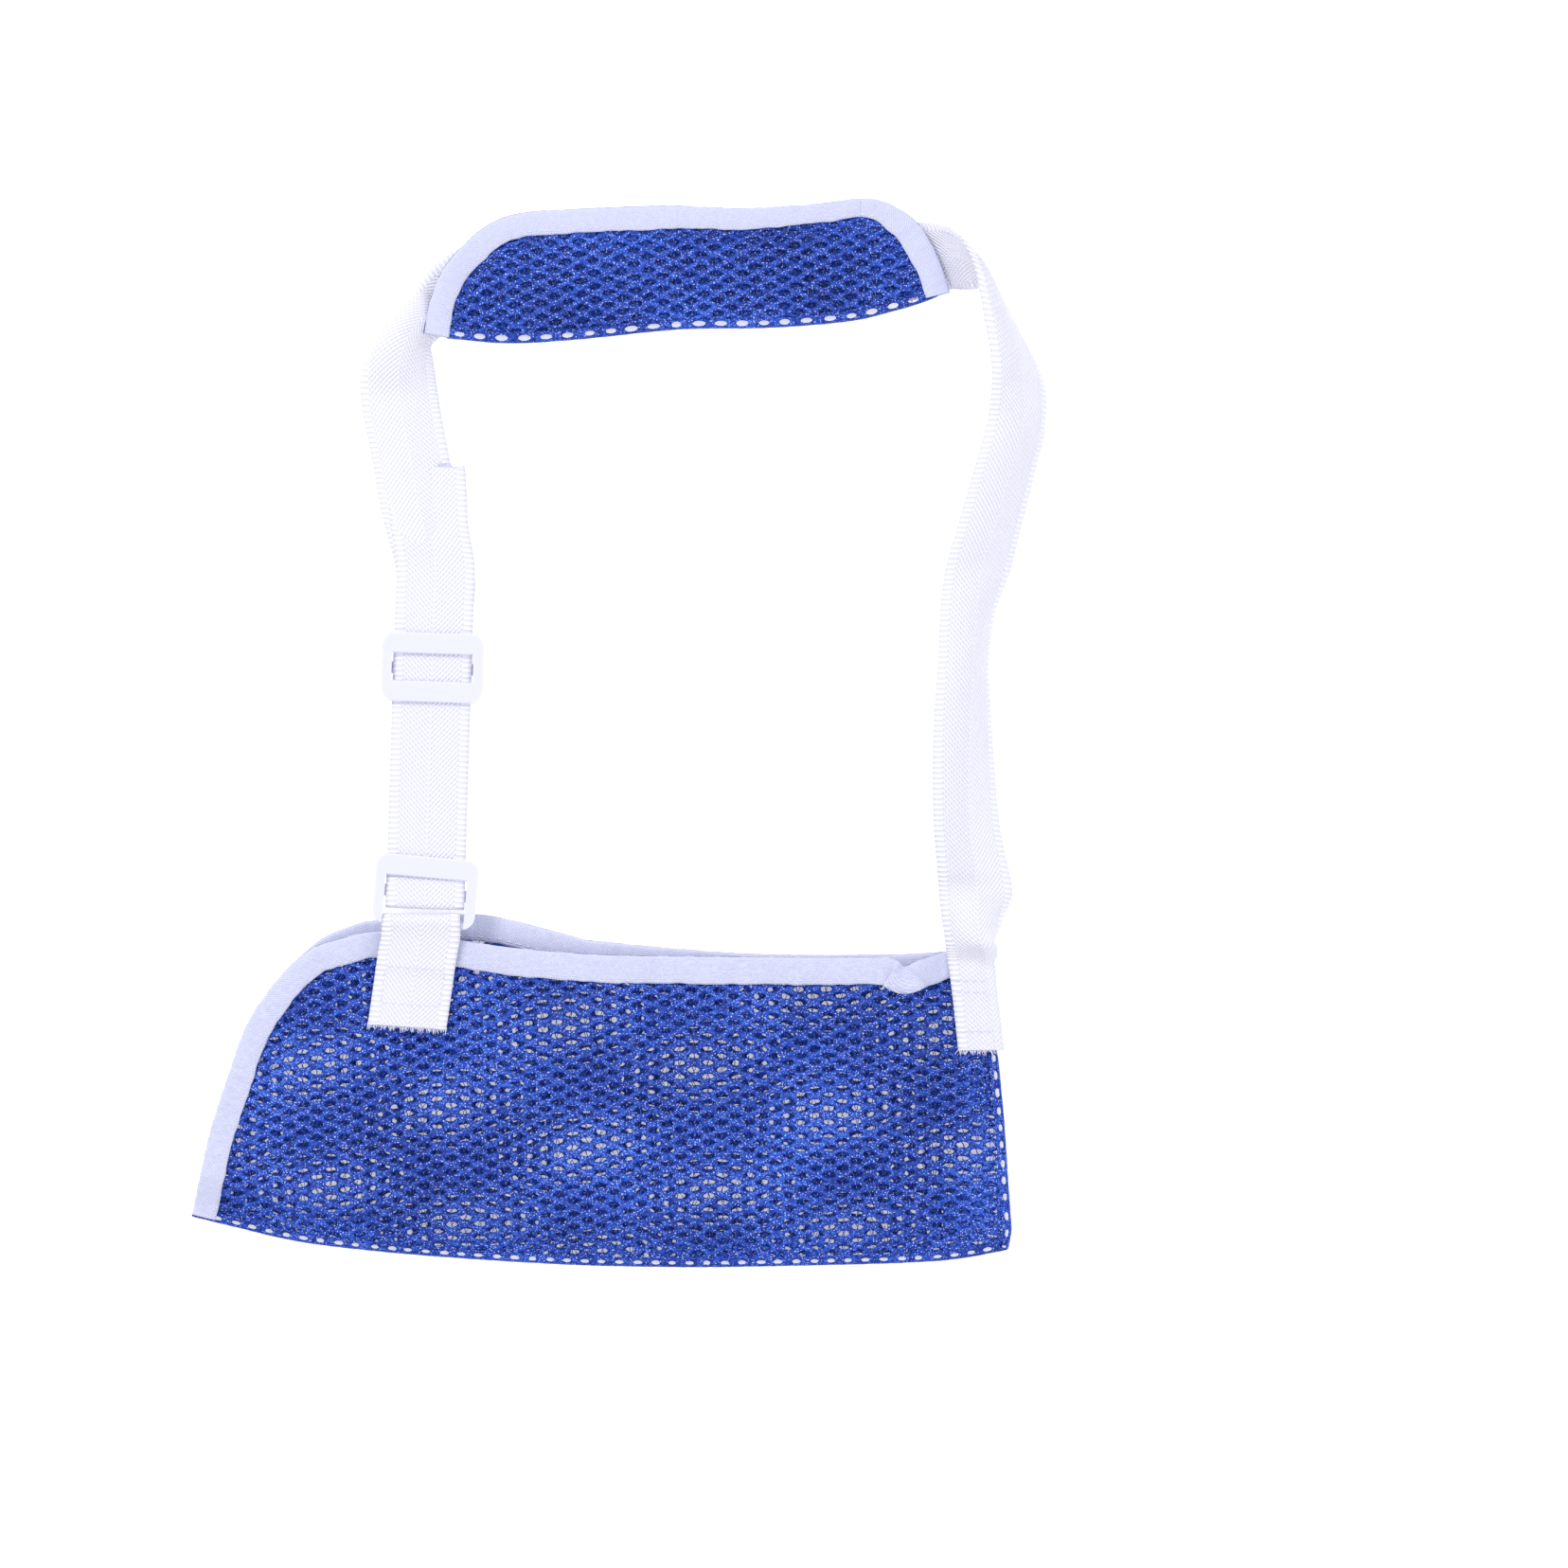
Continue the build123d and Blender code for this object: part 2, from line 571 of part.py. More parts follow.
# ---- export -------------------------------------------------------------------------------
NODES = {
    "back_panel": back_panel,
    "front_panel": front_panel,
    "back_binding": back_binding,
    "front_binding": front_binding,
    "back_binding_stitching": back_binding_stitching,
    "front_binding_stitching": front_binding_stitching,
    "bottom_seam_stitching": lambda: seam_thread(bottom_zone()),
    "elbow_seam_stitching": lambda: seam_thread(elbow_zone()),
    "buckle_tab": buckle_tab,
    "tab_stitching": tab_stitching,
    "strap_sewn_end": strap_sewn_end,
    "strap_end_stitching": strap_end_stitching,
    "lower_buckle": lower_buckle,
    "upper_slider": upper_slider,
    "shoulder_strap": shoulder_strap,
    "pad_mesh": pad_mesh,
    "pad_binding": pad_binding,
    "pad_end_binding": pad_end_binding,
    "pad_binding_stitching": pad_binding_stitching,
    "pad_tack_stitching": pad_tack_stitching,
}


def solids_of(shape):
    """The separate solids of a node, whether it was made whole or as a list."""
    if isinstance(shape, list):
        return [solid for item in shape for solid in item.solids()]
    return list(shape.solids())


os.makedirs("parts", exist_ok=True)
for name, make in NODES.items():
    solids = solids_of(make())
    node = solids[0] if len(solids) == 1 else Compound(children=solids)
    export_step(node, f"parts/{name}.step")
    print(name, len(solids), "solid(s)", round(sum(solid.volume for solid in solids), 1), "mm3")
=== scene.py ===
from math import cos, hypot, pi, radians, sin

import bpy
import numpy as np
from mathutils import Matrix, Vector


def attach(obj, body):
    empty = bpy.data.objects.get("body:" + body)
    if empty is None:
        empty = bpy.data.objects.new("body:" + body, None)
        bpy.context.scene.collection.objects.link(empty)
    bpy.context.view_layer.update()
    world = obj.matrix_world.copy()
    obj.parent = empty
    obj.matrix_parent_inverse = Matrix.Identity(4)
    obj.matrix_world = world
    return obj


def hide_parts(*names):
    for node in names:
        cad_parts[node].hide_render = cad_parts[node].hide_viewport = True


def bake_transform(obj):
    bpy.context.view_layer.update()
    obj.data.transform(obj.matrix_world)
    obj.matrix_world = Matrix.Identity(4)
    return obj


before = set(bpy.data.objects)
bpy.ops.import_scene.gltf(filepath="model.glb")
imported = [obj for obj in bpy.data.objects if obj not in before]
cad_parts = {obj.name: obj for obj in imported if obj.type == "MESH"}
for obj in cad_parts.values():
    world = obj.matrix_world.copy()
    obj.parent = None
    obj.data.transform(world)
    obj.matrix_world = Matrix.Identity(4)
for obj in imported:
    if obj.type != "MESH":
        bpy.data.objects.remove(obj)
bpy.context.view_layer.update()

# Arm sling laid flat, front face up. Lengths of geometry are in millimetres and become metres
# in build(); lengths in shaders, stage and camera are in metres. The frame is the CAD's:
# +X from the open end to the elbow, +Y towards the pad, +Z up off the surface.

WEB_W = 23.9  # webbing width
WEB_T = 0.8  # webbing thickness
SELVEDGE = 2.9  # width of the webbing's ribbed edge
RIB = 1.6  # spacing of the selvedge's ribs and of the twill
TAPE_T = 0.5  # one leg of a binding tape
CLOTH_T = 0.62  # thickness of the pouch's mesh
PAD_CLOTH_T = 0.6  # thickness of each layer of the pad
HOLE_PITCH = np.array([4.1, 2.02])  # half the spacing of the mesh's holes along X and Y
HOLE_HALF = np.array([1.75, 0.84])  # half size of one hole
HOLE_SIDES = 12
UP = np.array([0.0, 0.0, 1.0])
RNG = np.random.default_rng(7)


# ---- geometry helpers ---------------------------------------------------------------------
def catmull(points, step):
    """A smooth line through the points, resampled at an even step along its length."""
    p = np.asarray(points, float)
    p = np.vstack([2 * p[0] - p[1], p, 2 * p[-1] - p[-2]])
    t = np.linspace(0, 1, 24, endpoint=False)[:, None]
    runs = []
    for a, b, c, d in zip(p[:-3], p[1:-2], p[2:-1], p[3:]):
        runs.append(0.5 * (2 * b + (c - a) * t + (2 * a - 5 * b + 4 * c - d) * t**2
                           + (3 * b - a - 3 * c + d) * t**3))
    return even(np.vstack(runs + [p[-2:-1]]), step)


def lengths(line):
    """Distance along the line to each of its points."""
    return np.concatenate([[0], np.cumsum(np.linalg.norm(np.diff(line, axis=0), axis=1))])


def resampled(line, at, count):
    """The line's points at even steps of the distances given for them."""
    want = np.linspace(0, at[-1], count)
    return np.stack([np.interp(want, at, line[:, i]) for i in range(line.shape[1])], 1)


def even(line, step):
    """The line resampled at an even step along its own length."""
    at = lengths(line)
    return resampled(line, at, max(int(round(at[-1] / step)), 2) + 1)


def tangents(line):
    d = np.gradient(line, axis=0)
    return d / np.maximum(np.linalg.norm(d, axis=1, keepdims=True), 1e-9)


def smooth01(t):
    t = np.clip(t, 0, 1)
    return t * t * (3 - 2 * t)


def waves(x, y, table):
    """A sum of sine waves over the plane: each row is amplitude, wavelength, heading, phase."""
    total = np.zeros(np.broadcast(x, y).shape)
    for size, length, heading, phase in table:
        a = radians(heading)
        total += size * np.sin((x * cos(a) + y * sin(a)) * 2 * pi / length + phase)
    return total


def wobble(s, size, length, seed):
    """Uneven waviness along a line, with no visible repeat."""
    r = np.random.default_rng(seed)
    total = np.zeros(len(s))
    for k in (1.0, 1.73, 2.61, 0.47):
        total += np.sin(s * 2 * pi * k / length + r.uniform(0, 6.3)) / (1 + k) ** 0.7
    return total * size / 1.6


def edge_distance(points, line):
    """Distance from each point to an open or closed line, and the nearest place on it."""
    best = np.full(len(points), 1e9)
    place = np.zeros_like(points)
    for a, b in zip(line[:-1], line[1:]):
        ab = b - a
        t = np.clip(((points - a) @ ab) / max(ab @ ab, 1e-12), 0, 1)[:, None]
        q = a + t * ab
        d = np.linalg.norm(points - q, axis=1)
        near = d < best
        best[near] = d[near]
        place[near] = q[near]
    return best, place


def inside(points, ring):
    """Which points lie inside a closed ring."""
    x, y = points[:, 0], points[:, 1]
    odd = np.zeros(len(points), bool)
    for (x0, y0), (x1, y1) in zip(ring, np.roll(ring, -1, axis=0)):
        crosses = (y0 > y) != (y1 > y)
        with np.errstate(divide="ignore", invalid="ignore"):
            odd ^= crosses & (x < (x1 - x0) * (y - y0) / (y1 - y0) + x0)
    return odd


def build(name, verts, faces, material, uv):
    """A smooth-shaded mesh object from millimetre vertices."""
    mesh = bpy.data.meshes.new(name)
    mesh.from_pydata((np.asarray(verts, float) / 1000).tolist(), [], [list(f) for f in faces])
    mesh.validate()
    layer = mesh.uv_layers.new(name="cloth")
    loops = np.zeros(len(mesh.loops), np.int64)
    mesh.loops.foreach_get("vertex_index", loops)
    layer.data.foreach_set("uv", (np.asarray(uv, float) / 1000)[loops].ravel())
    mesh.polygons.foreach_set("use_smooth", [True] * len(mesh.polygons))
    mesh.materials.append(material)
    mesh.update()
    obj = bpy.data.objects.new(name, mesh)
    bpy.context.scene.collection.objects.link(obj)
    return obj


def tube_faces(rows, cols, start=0):
    """Quads round a tube whose vertices are stored row by row."""
    r, c = np.indices((rows - 1, cols))
    c2 = (c + 1) % cols
    quads = np.stack([r * cols + c, r * cols + c2, (r + 1) * cols + c2, (r + 1) * cols + c], -1)
    return (quads.reshape(-1, 4) + start).tolist()


def loop_solid(sections):
    """Faces of a tube of closed sections, with both ends shut."""
    rows, cols = sections.shape[:2]
    faces = tube_faces(rows, cols)
    faces.append(list(range(cols))[::-1])
    faces.append([(rows - 1) * cols + i for i in range(cols)])
    return faces


# ---- materials ----------------------------------------------------------------------------
def shader(name):
    material = bpy.data.materials.new(name)
    material.use_nodes = True
    tree = material.node_tree
    return material, tree, tree.nodes["Principled BSDF"]


def put(node, values):
    """Sets constants on a node's own sockets."""
    for key, value in values.items():
        node.inputs[key].default_value = value


def noise(tree, scale, detail, place=None, roughness=0.5):
    node = tree.nodes.new("ShaderNodeTexNoise")
    put(node, {"Scale": scale, "Detail": detail, "Roughness": roughness})
    if place is not None:
        tree.links.new(place, node.inputs["Vector"])
    return node.outputs[0]


def cloth_uv(tree):
    """The cloth's own UV: distance along the piece and across it."""
    node = tree.nodes.new("ShaderNodeUVMap")
    node.uv_map = "cloth"
    return node.outputs[0]


def along_and_over(tree):
    """The two parts of the cloth's UV."""
    parts = tree.nodes.new("ShaderNodeSeparateXYZ")
    tree.links.new(cloth_uv(tree), parts.inputs[0])
    return parts.outputs[0], parts.outputs[1]


def math(tree, operation, a, b=None):
    node = tree.nodes.new("ShaderNodeMath")
    node.operation = operation
    for i, item in enumerate((a, b)):
        if item is None:
            continue
        if isinstance(item, (int, float)):
            node.inputs[i].default_value = item
        else:
            tree.links.new(item, node.inputs[i])
    return node.outputs[0]


def stripes(tree, source, spacing):
    """A sine wave over a distance, with its spacing in metres."""
    return math(tree, "SINE", math(tree, "MULTIPLY", source, 2 * pi / spacing))


def plus(tree, source, other, share):
    """A value plus a share of another."""
    return math(tree, "ADD", source, math(tree, "MULTIPLY", other, share))


def about(tree, source, middle, gain):
    """How far a value stands from a middle, times a gain."""
    return math(tree, "MULTIPLY", math(tree, "SUBTRACT", source, middle), gain)


def ramp(tree, source, stops):
    node = tree.nodes.new("ShaderNodeValToRGB")
    elements = node.color_ramp.elements
    while len(elements) < len(stops):
        elements.new(0.5)
    for element, (place, colour) in zip(elements, stops):
        element.position = place
        element.color = (*colour, 1)
    tree.links.new(source, node.inputs[0])
    return node.outputs[0]


def bump(tree, shader_node, height, strength, distance):
    node = tree.nodes.new("ShaderNodeBump")
    put(node, {"Strength": strength, "Distance": distance})
    tree.links.new(height, node.inputs["Height"])
    tree.links.new(node.outputs[0], shader_node.inputs["Normal"])


def webbing_material():
    """White herringbone webbing with ribbed selvedges."""
    material, tree, main = shader("webbing_white")
    along, side = along_and_over(tree)
    over = math(tree, "ABSOLUTE", math(tree, "SUBTRACT", side, WEB_W / 2000))
    middle = math(tree, "LESS_THAN", over, WEB_W / 2000 - SELVEDGE / 1000)
    twill = stripes(tree, plus(tree, along, over, 1.15), RIB / 1000)
    body = plus(tree, twill, stripes(tree, over, 0.0009), 0.35)
    rib = stripes(tree, along, RIB / 1000)
    height = math(tree, "ADD", math(tree, "MULTIPLY", body, middle),
                  math(tree, "MULTIPLY", rib, math(tree, "SUBTRACT", 1.0, middle)))
    level = math(tree, "ADD", math(tree, "MULTIPLY", height, 0.3), 0.55)
    colour = ramp(tree, level, [
        (0.12, (0.70, 0.70, 0.85)), (0.5, (0.825, 0.82, 0.93)), (0.9, (0.895, 0.89, 0.975)),
    ])
    tree.links.new(colour, main.inputs["Base Color"])
    put(main, {"Roughness": 0.75, "Sheen Weight": 0.25, "Sheen Roughness": 0.4})
    bump(tree, main, height, 0.6, 0.0003)
    return material


def tape_material():
    """Pale lavender twill tape."""
    material, tree, main = shader("binding_lavender")
    along, over = along_and_over(tree)
    weave = stripes(tree, plus(tree, along, over, 0.9), 0.00085)
    height = plus(tree, weave, stripes(tree, over, 0.0006), 0.4)
    level = math(tree, "ADD", math(tree, "MULTIPLY", height, 0.16), noise(tree, 90.0, 3.0))
    colour = ramp(tree, level, [
        (0.2, (0.53, 0.55, 0.78)), (0.55, (0.635, 0.655, 0.86)), (0.9, (0.71, 0.73, 0.90)),
    ])
    tree.links.new(colour, main.inputs["Base Color"])
    put(main, {"Roughness": 0.7, "Sheen Weight": 0.35, "Sheen Roughness": 0.35})
    bump(tree, main, height, 0.5, 0.0002)
    return material


def mesh_material():
    """Blue knitted polyester: bright loops on a saturated ground, with painted glints and broad bands of
    painted sheen.
    """
    material, tree, main = shader("mesh_blue")
    scale = tree.nodes.new("ShaderNodeMapping")
    put(scale, {"Scale": (1000.0, 1000.0, 1.0)})
    tree.links.new(cloth_uv(tree), scale.inputs["Vector"])
    place = scale.outputs[0]
    loops = tree.nodes.new("ShaderNodeTexVoronoi")
    put(loops, {"Scale": 1.15})
    tree.links.new(place, loops.inputs["Vector"])
    strands = noise(tree, 0.9, 3.0, place, 0.7)
    bright = math(tree, "MULTIPLY", math(tree, "SUBTRACT", 1.0, loops.outputs[0]), 0.75)
    level = math(tree, "ADD", bright, about(tree, strands, 0.5, 1.1))
    # Painted sheen: broad lighter and darker bands, some 40 mm across, stand for light falling over the
    # rippled cloth.
    painted_sheen_bands = about(tree, noise(tree, 0.024, 1.0, place), 0.5, 0.55)
    # Painted glints: sparse specks of noise pushed up to the ramp's near-white top stop stand for light
    # caught by the threads.
    glints = math(tree, "SUBTRACT", noise(tree, 2.3, 1.0, place), 0.62)
    painted_glints = math(tree, "MULTIPLY", math(tree, "MAXIMUM", glints, 0.0), 13.0)
    tone = math(tree, "ADD", math(tree, "ADD", level, painted_sheen_bands), painted_glints)
    colour = ramp(tree, tone, [
        (0.14, (0.003, 0.022, 0.21)), (0.38, (0.009, 0.050, 0.43)), (0.64, (0.020, 0.108, 0.65)),
        (0.88, (0.055, 0.21, 0.84)), (1.0, (0.75, 0.80, 1.0)),
    ])
    tree.links.new(colour, main.inputs["Base Color"])
    put(main, {"Roughness": 0.45, "Specular IOR Level": 0.3, "Sheen Weight": 0.12,
               "Sheen Roughness": 0.3, "Sheen Tint": (0.15, 0.4, 1.0, 1.0)})
    bump(tree, main, level, 0.9, 0.0004)
    return material


def thread_material():
    material, tree, main = shader("thread_white")
    grain = noise(tree, 1500.0, 2.0)
    colour = ramp(tree, grain, [(0.3, (0.60, 0.61, 0.82)), (0.7, (0.80, 0.81, 0.94))])
    tree.links.new(colour, main.inputs["Base Color"])
    put(main, {"Roughness": 0.55})
    bump(tree, main, grain, 0.4, 0.0001)
    return material


def plastic_material():
    """Milky moulded plastic; the emission stands for the light that passes through it."""
    material, tree, main = shader("buckle_milky")
    grain = noise(tree, 240.0, 3.0)
    colour = ramp(tree, grain, [(0.3, (0.60, 0.605, 0.76)), (0.7, (0.66, 0.665, 0.81))])
    tree.links.new(colour, main.inputs["Base Color"])
    put(main, {"Roughness": 0.26, "Emission Color": (0.90, 0.93, 1.0, 1.0), "Emission Strength": 0.12,
               "Subsurface Weight": 0.35, "Subsurface Radius": (1.0, 1.0, 1.0),
               "Subsurface Scale": 0.0015, "IOR": 1.49})
    bump(tree, main, grain, 0.12, 0.0001)
    return material


def floor_material():
    material, tree, main = shader("floor_pale")
    stops = [(0.2, (0.93, 0.93, 0.935)), (0.8, (0.955, 0.955, 0.955))]
    tree.links.new(ramp(tree, noise(tree, 2.0, 1.0), stops), main.inputs["Base Color"])
    put(main, {"Roughness": 0.9, "Emission Color": (1.0, 1.0, 1.0, 1.0), "Emission Strength": 0.35})
    return material


WEBBING = webbing_material()
TAPE = tape_material()
MESH = mesh_material()
THREAD = thread_material()
PLASTIC = plastic_material()

# ---- outlines, seen from above ------------------------------------------------------------
OPEN_SIDE = [
    (-125.1, -32.9), (-122.5, -21.7), (-118.8, -5.8), (-113.6, 10.1), (-108.7, 24.0),
    (-102.9, 33.8), (-95.7, 42.5),
]
FRONT_TOP = [
    (-87.9, 48.8), (-77.7, 52.2), (-68.8, 54.0), (-56.6, 53.2), (-43.1, 51.4), (-30.1, 49.4),
    (-13.3, 47.7), (1.7, 46.8), (25.1, 46.4), (58.7, 46.1), (83.5, 46.1), (87.6, 45.8),
    (90.2, 44.9), (91.9, 43.3), (93.4, 43.6), (96.5, 45.1), (104.6, 47.7), (108.7, 48.3),
]
BACK_TOP = [
    (-87.9, 50.0), (-81.8, 53.5), (-74.0, 56.4), (-68.8, 57.2), (-54.0, 58.6), (-39.0, 59.0),
    (-30.1, 57.8), (-18.2, 54.9), (-5.2, 51.4), (1.2, 50.7), (18.5, 49.0), (49.1, 46.9),
    (87.3, 46.8), (104.6, 47.7), (108.7, 48.1),
]
ELBOW_SIDE = [
    (117.0, 44.8), (117.4, 36.0), (118.6, 27.0), (120.4, 17.0), (122.5, -4.3), (123.8, -23.7),
    (124.8, -37.0),
]
BOTTOM_SIDE = [
    (123.7, -43.1), (109.5, -45.7), (97.1, -46.8), (77.7, -47.5), (39.6, -48.3), (18.5, -48.3),
    (-8.1, -47.7), (-38.1, -46.0), (-67.9, -43.6), (-92.8, -40.5), (-114.4, -35.5), (-125.1, -32.9),
]
PAD_OPEN = [
    (-54.2, 236.0), (-52.5, 245.4), (-48.3, 255.6), (-41.6, 263.6), (-34.1, 269.6), (-25.1, 272.8),
    (-10.1, 274.0), (20.2, 275.1), (43.1, 274.3), (65.6, 275.7), (77.7, 277.2), (85.5, 276.6),
    (91.2, 273.8), (95.6, 270.4), (99.9, 264.6), (103.4, 257.2), (105.6, 250.4), (106.1, 248.6),
]
PAD_FOLD = [
    (104.6, 248.9), (98.8, 246.2), (88.1, 243.0), (74.6, 240.0), (50.6, 238.1), (23.4, 237.6),
    (-6.9, 234.6), (-28.0, 233.4), (-47.1, 234.8),
]
POUCH_MIDDLE = np.array([0.0, 0.0])
PAD_MIDDLE = np.array([25.0, 262.0])
EDGE_HEM = 2.2  # width of the row of holes along a closed edge
PAD_HEM = 2.7

FRONT_EDGE = catmull(OPEN_SIDE + FRONT_TOP, 0.5)
BACK_EDGE = catmull(OPEN_SIDE + BACK_TOP, 0.5)
ELBOW_EDGE = catmull(ELBOW_SIDE, 1.0)
BOTTOM_EDGE = catmull(BOTTOM_SIDE, 1.0)
CLOSED_EDGE = np.vstack([ELBOW_EDGE, BOTTOM_EDGE])
BACK_RING = np.vstack([BACK_EDGE[::4], CLOSED_EDGE])
PAD_EDGE = catmull(PAD_OPEN, 0.5)
PAD_LOW = catmull(PAD_FOLD, 1.0)


def inwards(line, middle):
    """Unit directions across a plan line, pointing to the side that holds a point."""
    t = tangents(line)
    side = np.column_stack([t[:, 1], -t[:, 0]])
    return side * np.sign(((middle - line) * side).sum(1))[:, None]


HEM_LINE = CLOSED_EDGE + inwards(CLOSED_EDGE, POUCH_MIDDLE) * EDGE_HEM
PAD_HEM_LINE = PAD_LOW + inwards(PAD_LOW, PAD_MIDDLE) * PAD_HEM
FRONT_CLOTH = np.vstack([FRONT_EDGE[::4], HEM_LINE])
BACK_CLOTH = np.vstack([BACK_EDGE[::4], HEM_LINE])
PAD_CLOTH = np.vstack([PAD_EDGE[::3], PAD_HEM_LINE])


# ---- heights ------------------------------------------------------------------------------
BILLOWS = [(0.55, 92, 8, 0.4), (0.35, 61, 35, 2.1), (0.25, 38, -20, 4.0), (0.16, 23, 62, 1.2)]
CREASES = [(0.22, 17, 12, 0.9), (0.14, 11, -31, 2.7)]
BACK_RIPPLE = [(1.0, 31, 40, 0.0)]
PAD_RIPPLE = [(1, 37, 20, 1.0), (0.6, 19, -40, 0)]
# The line along which the front panel starts to rise off the back panel.
VAULT_FOOT = np.array([(-185.0, -22.5), (-60.0, -38.5), (20.0, -43.0), (107.0, -40.0), (104.0, 110.0)])


def front_height(p):
    """Middle of the front panel: flat along the closed edges, risen over the arm cavity."""
    d = np.full(len(p), 1e9)
    for a, b in zip(VAULT_FOOT[:-1], VAULT_FOOT[1:]):
        across_line = np.array([a[1] - b[1], b[0] - a[0]]) / np.linalg.norm(b - a)
        d = np.minimum(d, (p - a) @ across_line)
    rise = smooth01((d + 1.0) / 12.0)
    x, y = p[:, 0], p[:, 1]
    soft = waves(x, y, BILLOWS) + waves(x, y, CREASES)
    return 2.2 + 5.5 * rise + soft * smooth01((d - 2) / 20) * 0.75


def front_tape_height(p):
    return np.maximum(front_height(p), 2.8)


def back_tape_height(p):
    return 1.05 + 0.35 * smooth01((p[:, 1] + 24.0) / 20.0)


def back_height(p):
    """Middle of the back panel: on the resting plane, lifted a little along the border."""
    d, _ = edge_distance(p, BACK_RING[::2])
    ripple = 0.1 * waves(p[:, 0], p[:, 1], BACK_RIPPLE) * smooth01(d / 20)
    return 1.4 - 0.95 * smooth01((d - 9.0) / 7.0) + ripple


# ---- perforated mesh ----------------------------------------------------------------------
ANGLES = np.arange(HOLE_SIDES) * pi / 6
HOLE_RING = np.stack([np.cos(ANGLES), np.sin(ANGLES)], 1)
DIAMOND = HOLE_RING / np.abs(HOLE_RING).sum(1, keepdims=True)
# Rings of vertices from a hole's rim to its cell's border: how far out, and how thick there.
CELL_RINGS = [(0.0, 0.0), (0.55, 0.8), (1.0, 1.0)]
CELL_VERTS = HOLE_SIDES * len(CELL_RINGS)
EDGE_CELLS = 1.2  # cells are kept up to this far outside the ring


def perforated(ring, height, turn, stretch, shift, thickness):
    """Both faces of a knitted mesh with real holes, filled to the ring."""
    low, high = ring.min(0), ring.max(0)
    centre = (low + high) / 2
    reach = np.linalg.norm(high - low) / 2 + 8
    ni, nj = int(reach / HOLE_PITCH[0]) + 2, int(reach / HOLE_PITCH[1]) + 2
    i, j = np.meshgrid(np.arange(-ni, ni + 1), np.arange(-nj, nj + 1))
    even_cells = (i + j) % 2 == 0
    cells = np.stack([i[even_cells], j[even_cells]], 1) * HOLE_PITCH
    a = radians(turn)
    rotate = np.array([[cos(a), sin(a)], [-sin(a), cos(a)]])

    def place(local):
        world = (local * stretch) @ rotate + centre + shift
        return world + np.stack([
            0.35 * np.sin(world[:, 1] / 17 + 0.4) + 0.2 * np.sin(world[:, 0] / 23),
            0.7 * np.sin(world[:, 0] / 41 + 1.0) + 0.25 * np.sin(world[:, 0] / 13),
        ], 1)

    closed = np.vstack([ring, ring[:1]])
    middles = place(cells)
    d, _ = edge_distance(middles, closed)
    cells = cells[inside(middles, ring) | (d < EDGE_CELLS)]
    n = len(cells)
    jitter = 1 + RNG.uniform(-0.07, 0.07, (n, 1, 1))
    jitter = jitter * (1 + RNG.uniform(-0.16, 0.16, (n, HOLE_SIDES, 1)))
    inner = cells[:, None] + HOLE_RING * HOLE_HALF * jitter
    outer = cells[:, None] + DIAMOND * HOLE_PITCH
    rings = [inner * (1 - f) + outer * f for f, _ in CELL_RINGS]
    flat = place(np.stack(rings, 1).reshape(-1, 2))
    out = ~inside(flat, ring)
    _, flat[out] = edge_distance(flat[out], closed)
    base = (np.arange(n) * CELL_VERTS)[:, None]
    k = np.arange(HOLE_SIDES)
    k2 = (k + 1) % HOLE_SIDES
    quads = []
    for low in (base, base + HOLE_SIDES):
        high = low + HOLE_SIDES
        quads.append(np.stack([low + k, high + k, high + k2, low + k2], -1).reshape(-1, 4))
    level = np.tile(np.repeat([thick for _, thick in CELL_RINGS], HOLE_SIDES), n)
    points, faces, level = weld(flat, np.vstack(quads), level)
    cloth = two_faced(points, faces, level * thickness / 2, height(points))
    whole = ~out.reshape(n, len(CELL_RINGS), HOLE_SIDES)[:, 0].any(1)
    return with_threads(cloth, cells[whole], place, height)


def with_threads(cloth, cells, place, height):
    """Adds the fine knitting thread that crosses each hole."""
    n = len(cells)
    lean = RNG.uniform(-0.55, 0.55, (n, 1))
    bow_out = RNG.uniform(-0.3, 0.3, (n, 1))
    rings = []
    for f in (-1.0, 0.0, 1.0):
        rise = 1 - f * f
        across = np.full((n, 1), f * HOLE_HALF[1] * 1.05)
        middle = place(cells + np.hstack([lean * f + bow_out * rise, across]))
        z = height(middle) + 0.12 * rise
        for dx, dz in ((0.13, 0.0), (0.0, 0.13), (-0.13, 0.0), (0.0, -0.13)):
            rings.append(np.column_stack([middle[:, 0] + dx, middle[:, 1], z + dz]))
    verts = np.stack(rings, 1).reshape(-1, 3)
    start = len(cloth[0]) + (np.arange(n) * len(rings))[:, None]
    k = np.arange(4)
    k2 = (k + 1) % 4
    faces = []
    for low in (start, start + 4):
        faces += np.stack([low + k, low + k2, low + 4 + k2, low + 4 + k], -1).reshape(-1, 4).tolist()
    faces += (start + np.array([[3, 2, 1, 0]])).tolist() + (start + np.array([[8, 9, 10, 11]])).tolist()
    return np.vstack([cloth[0], verts]), cloth[1] + faces, np.vstack([cloth[2], verts[:, :2]])


def weld(points, faces, level):
    """Joins plan points in one place, drops the faces that vanish and thins the rim to nothing."""
    key = np.round(points * 200).astype(np.int64)
    _, first, where = np.unique(key, axis=0, return_index=True, return_inverse=True)
    faces = where.reshape(-1)[faces]
    good = []
    for f in faces.tolist():
        ring = [f[i] for i in range(4) if f[i] != f[i - 1]]
        if len(ring) >= 3 and len(set(ring)) == len(ring):
            good.append(ring)
    level = level[first].copy()
    edges = {}
    for ring in good:
        for i in range(len(ring)):
            edge = (min(ring[i - 1], ring[i]), max(ring[i - 1], ring[i]))
            edges[edge] = edges.get(edge, 0) + 1
    rim = [v for edge, uses in edges.items() if uses == 1 for v in edge]
    level[rim] = 0
    return points[first], good, level


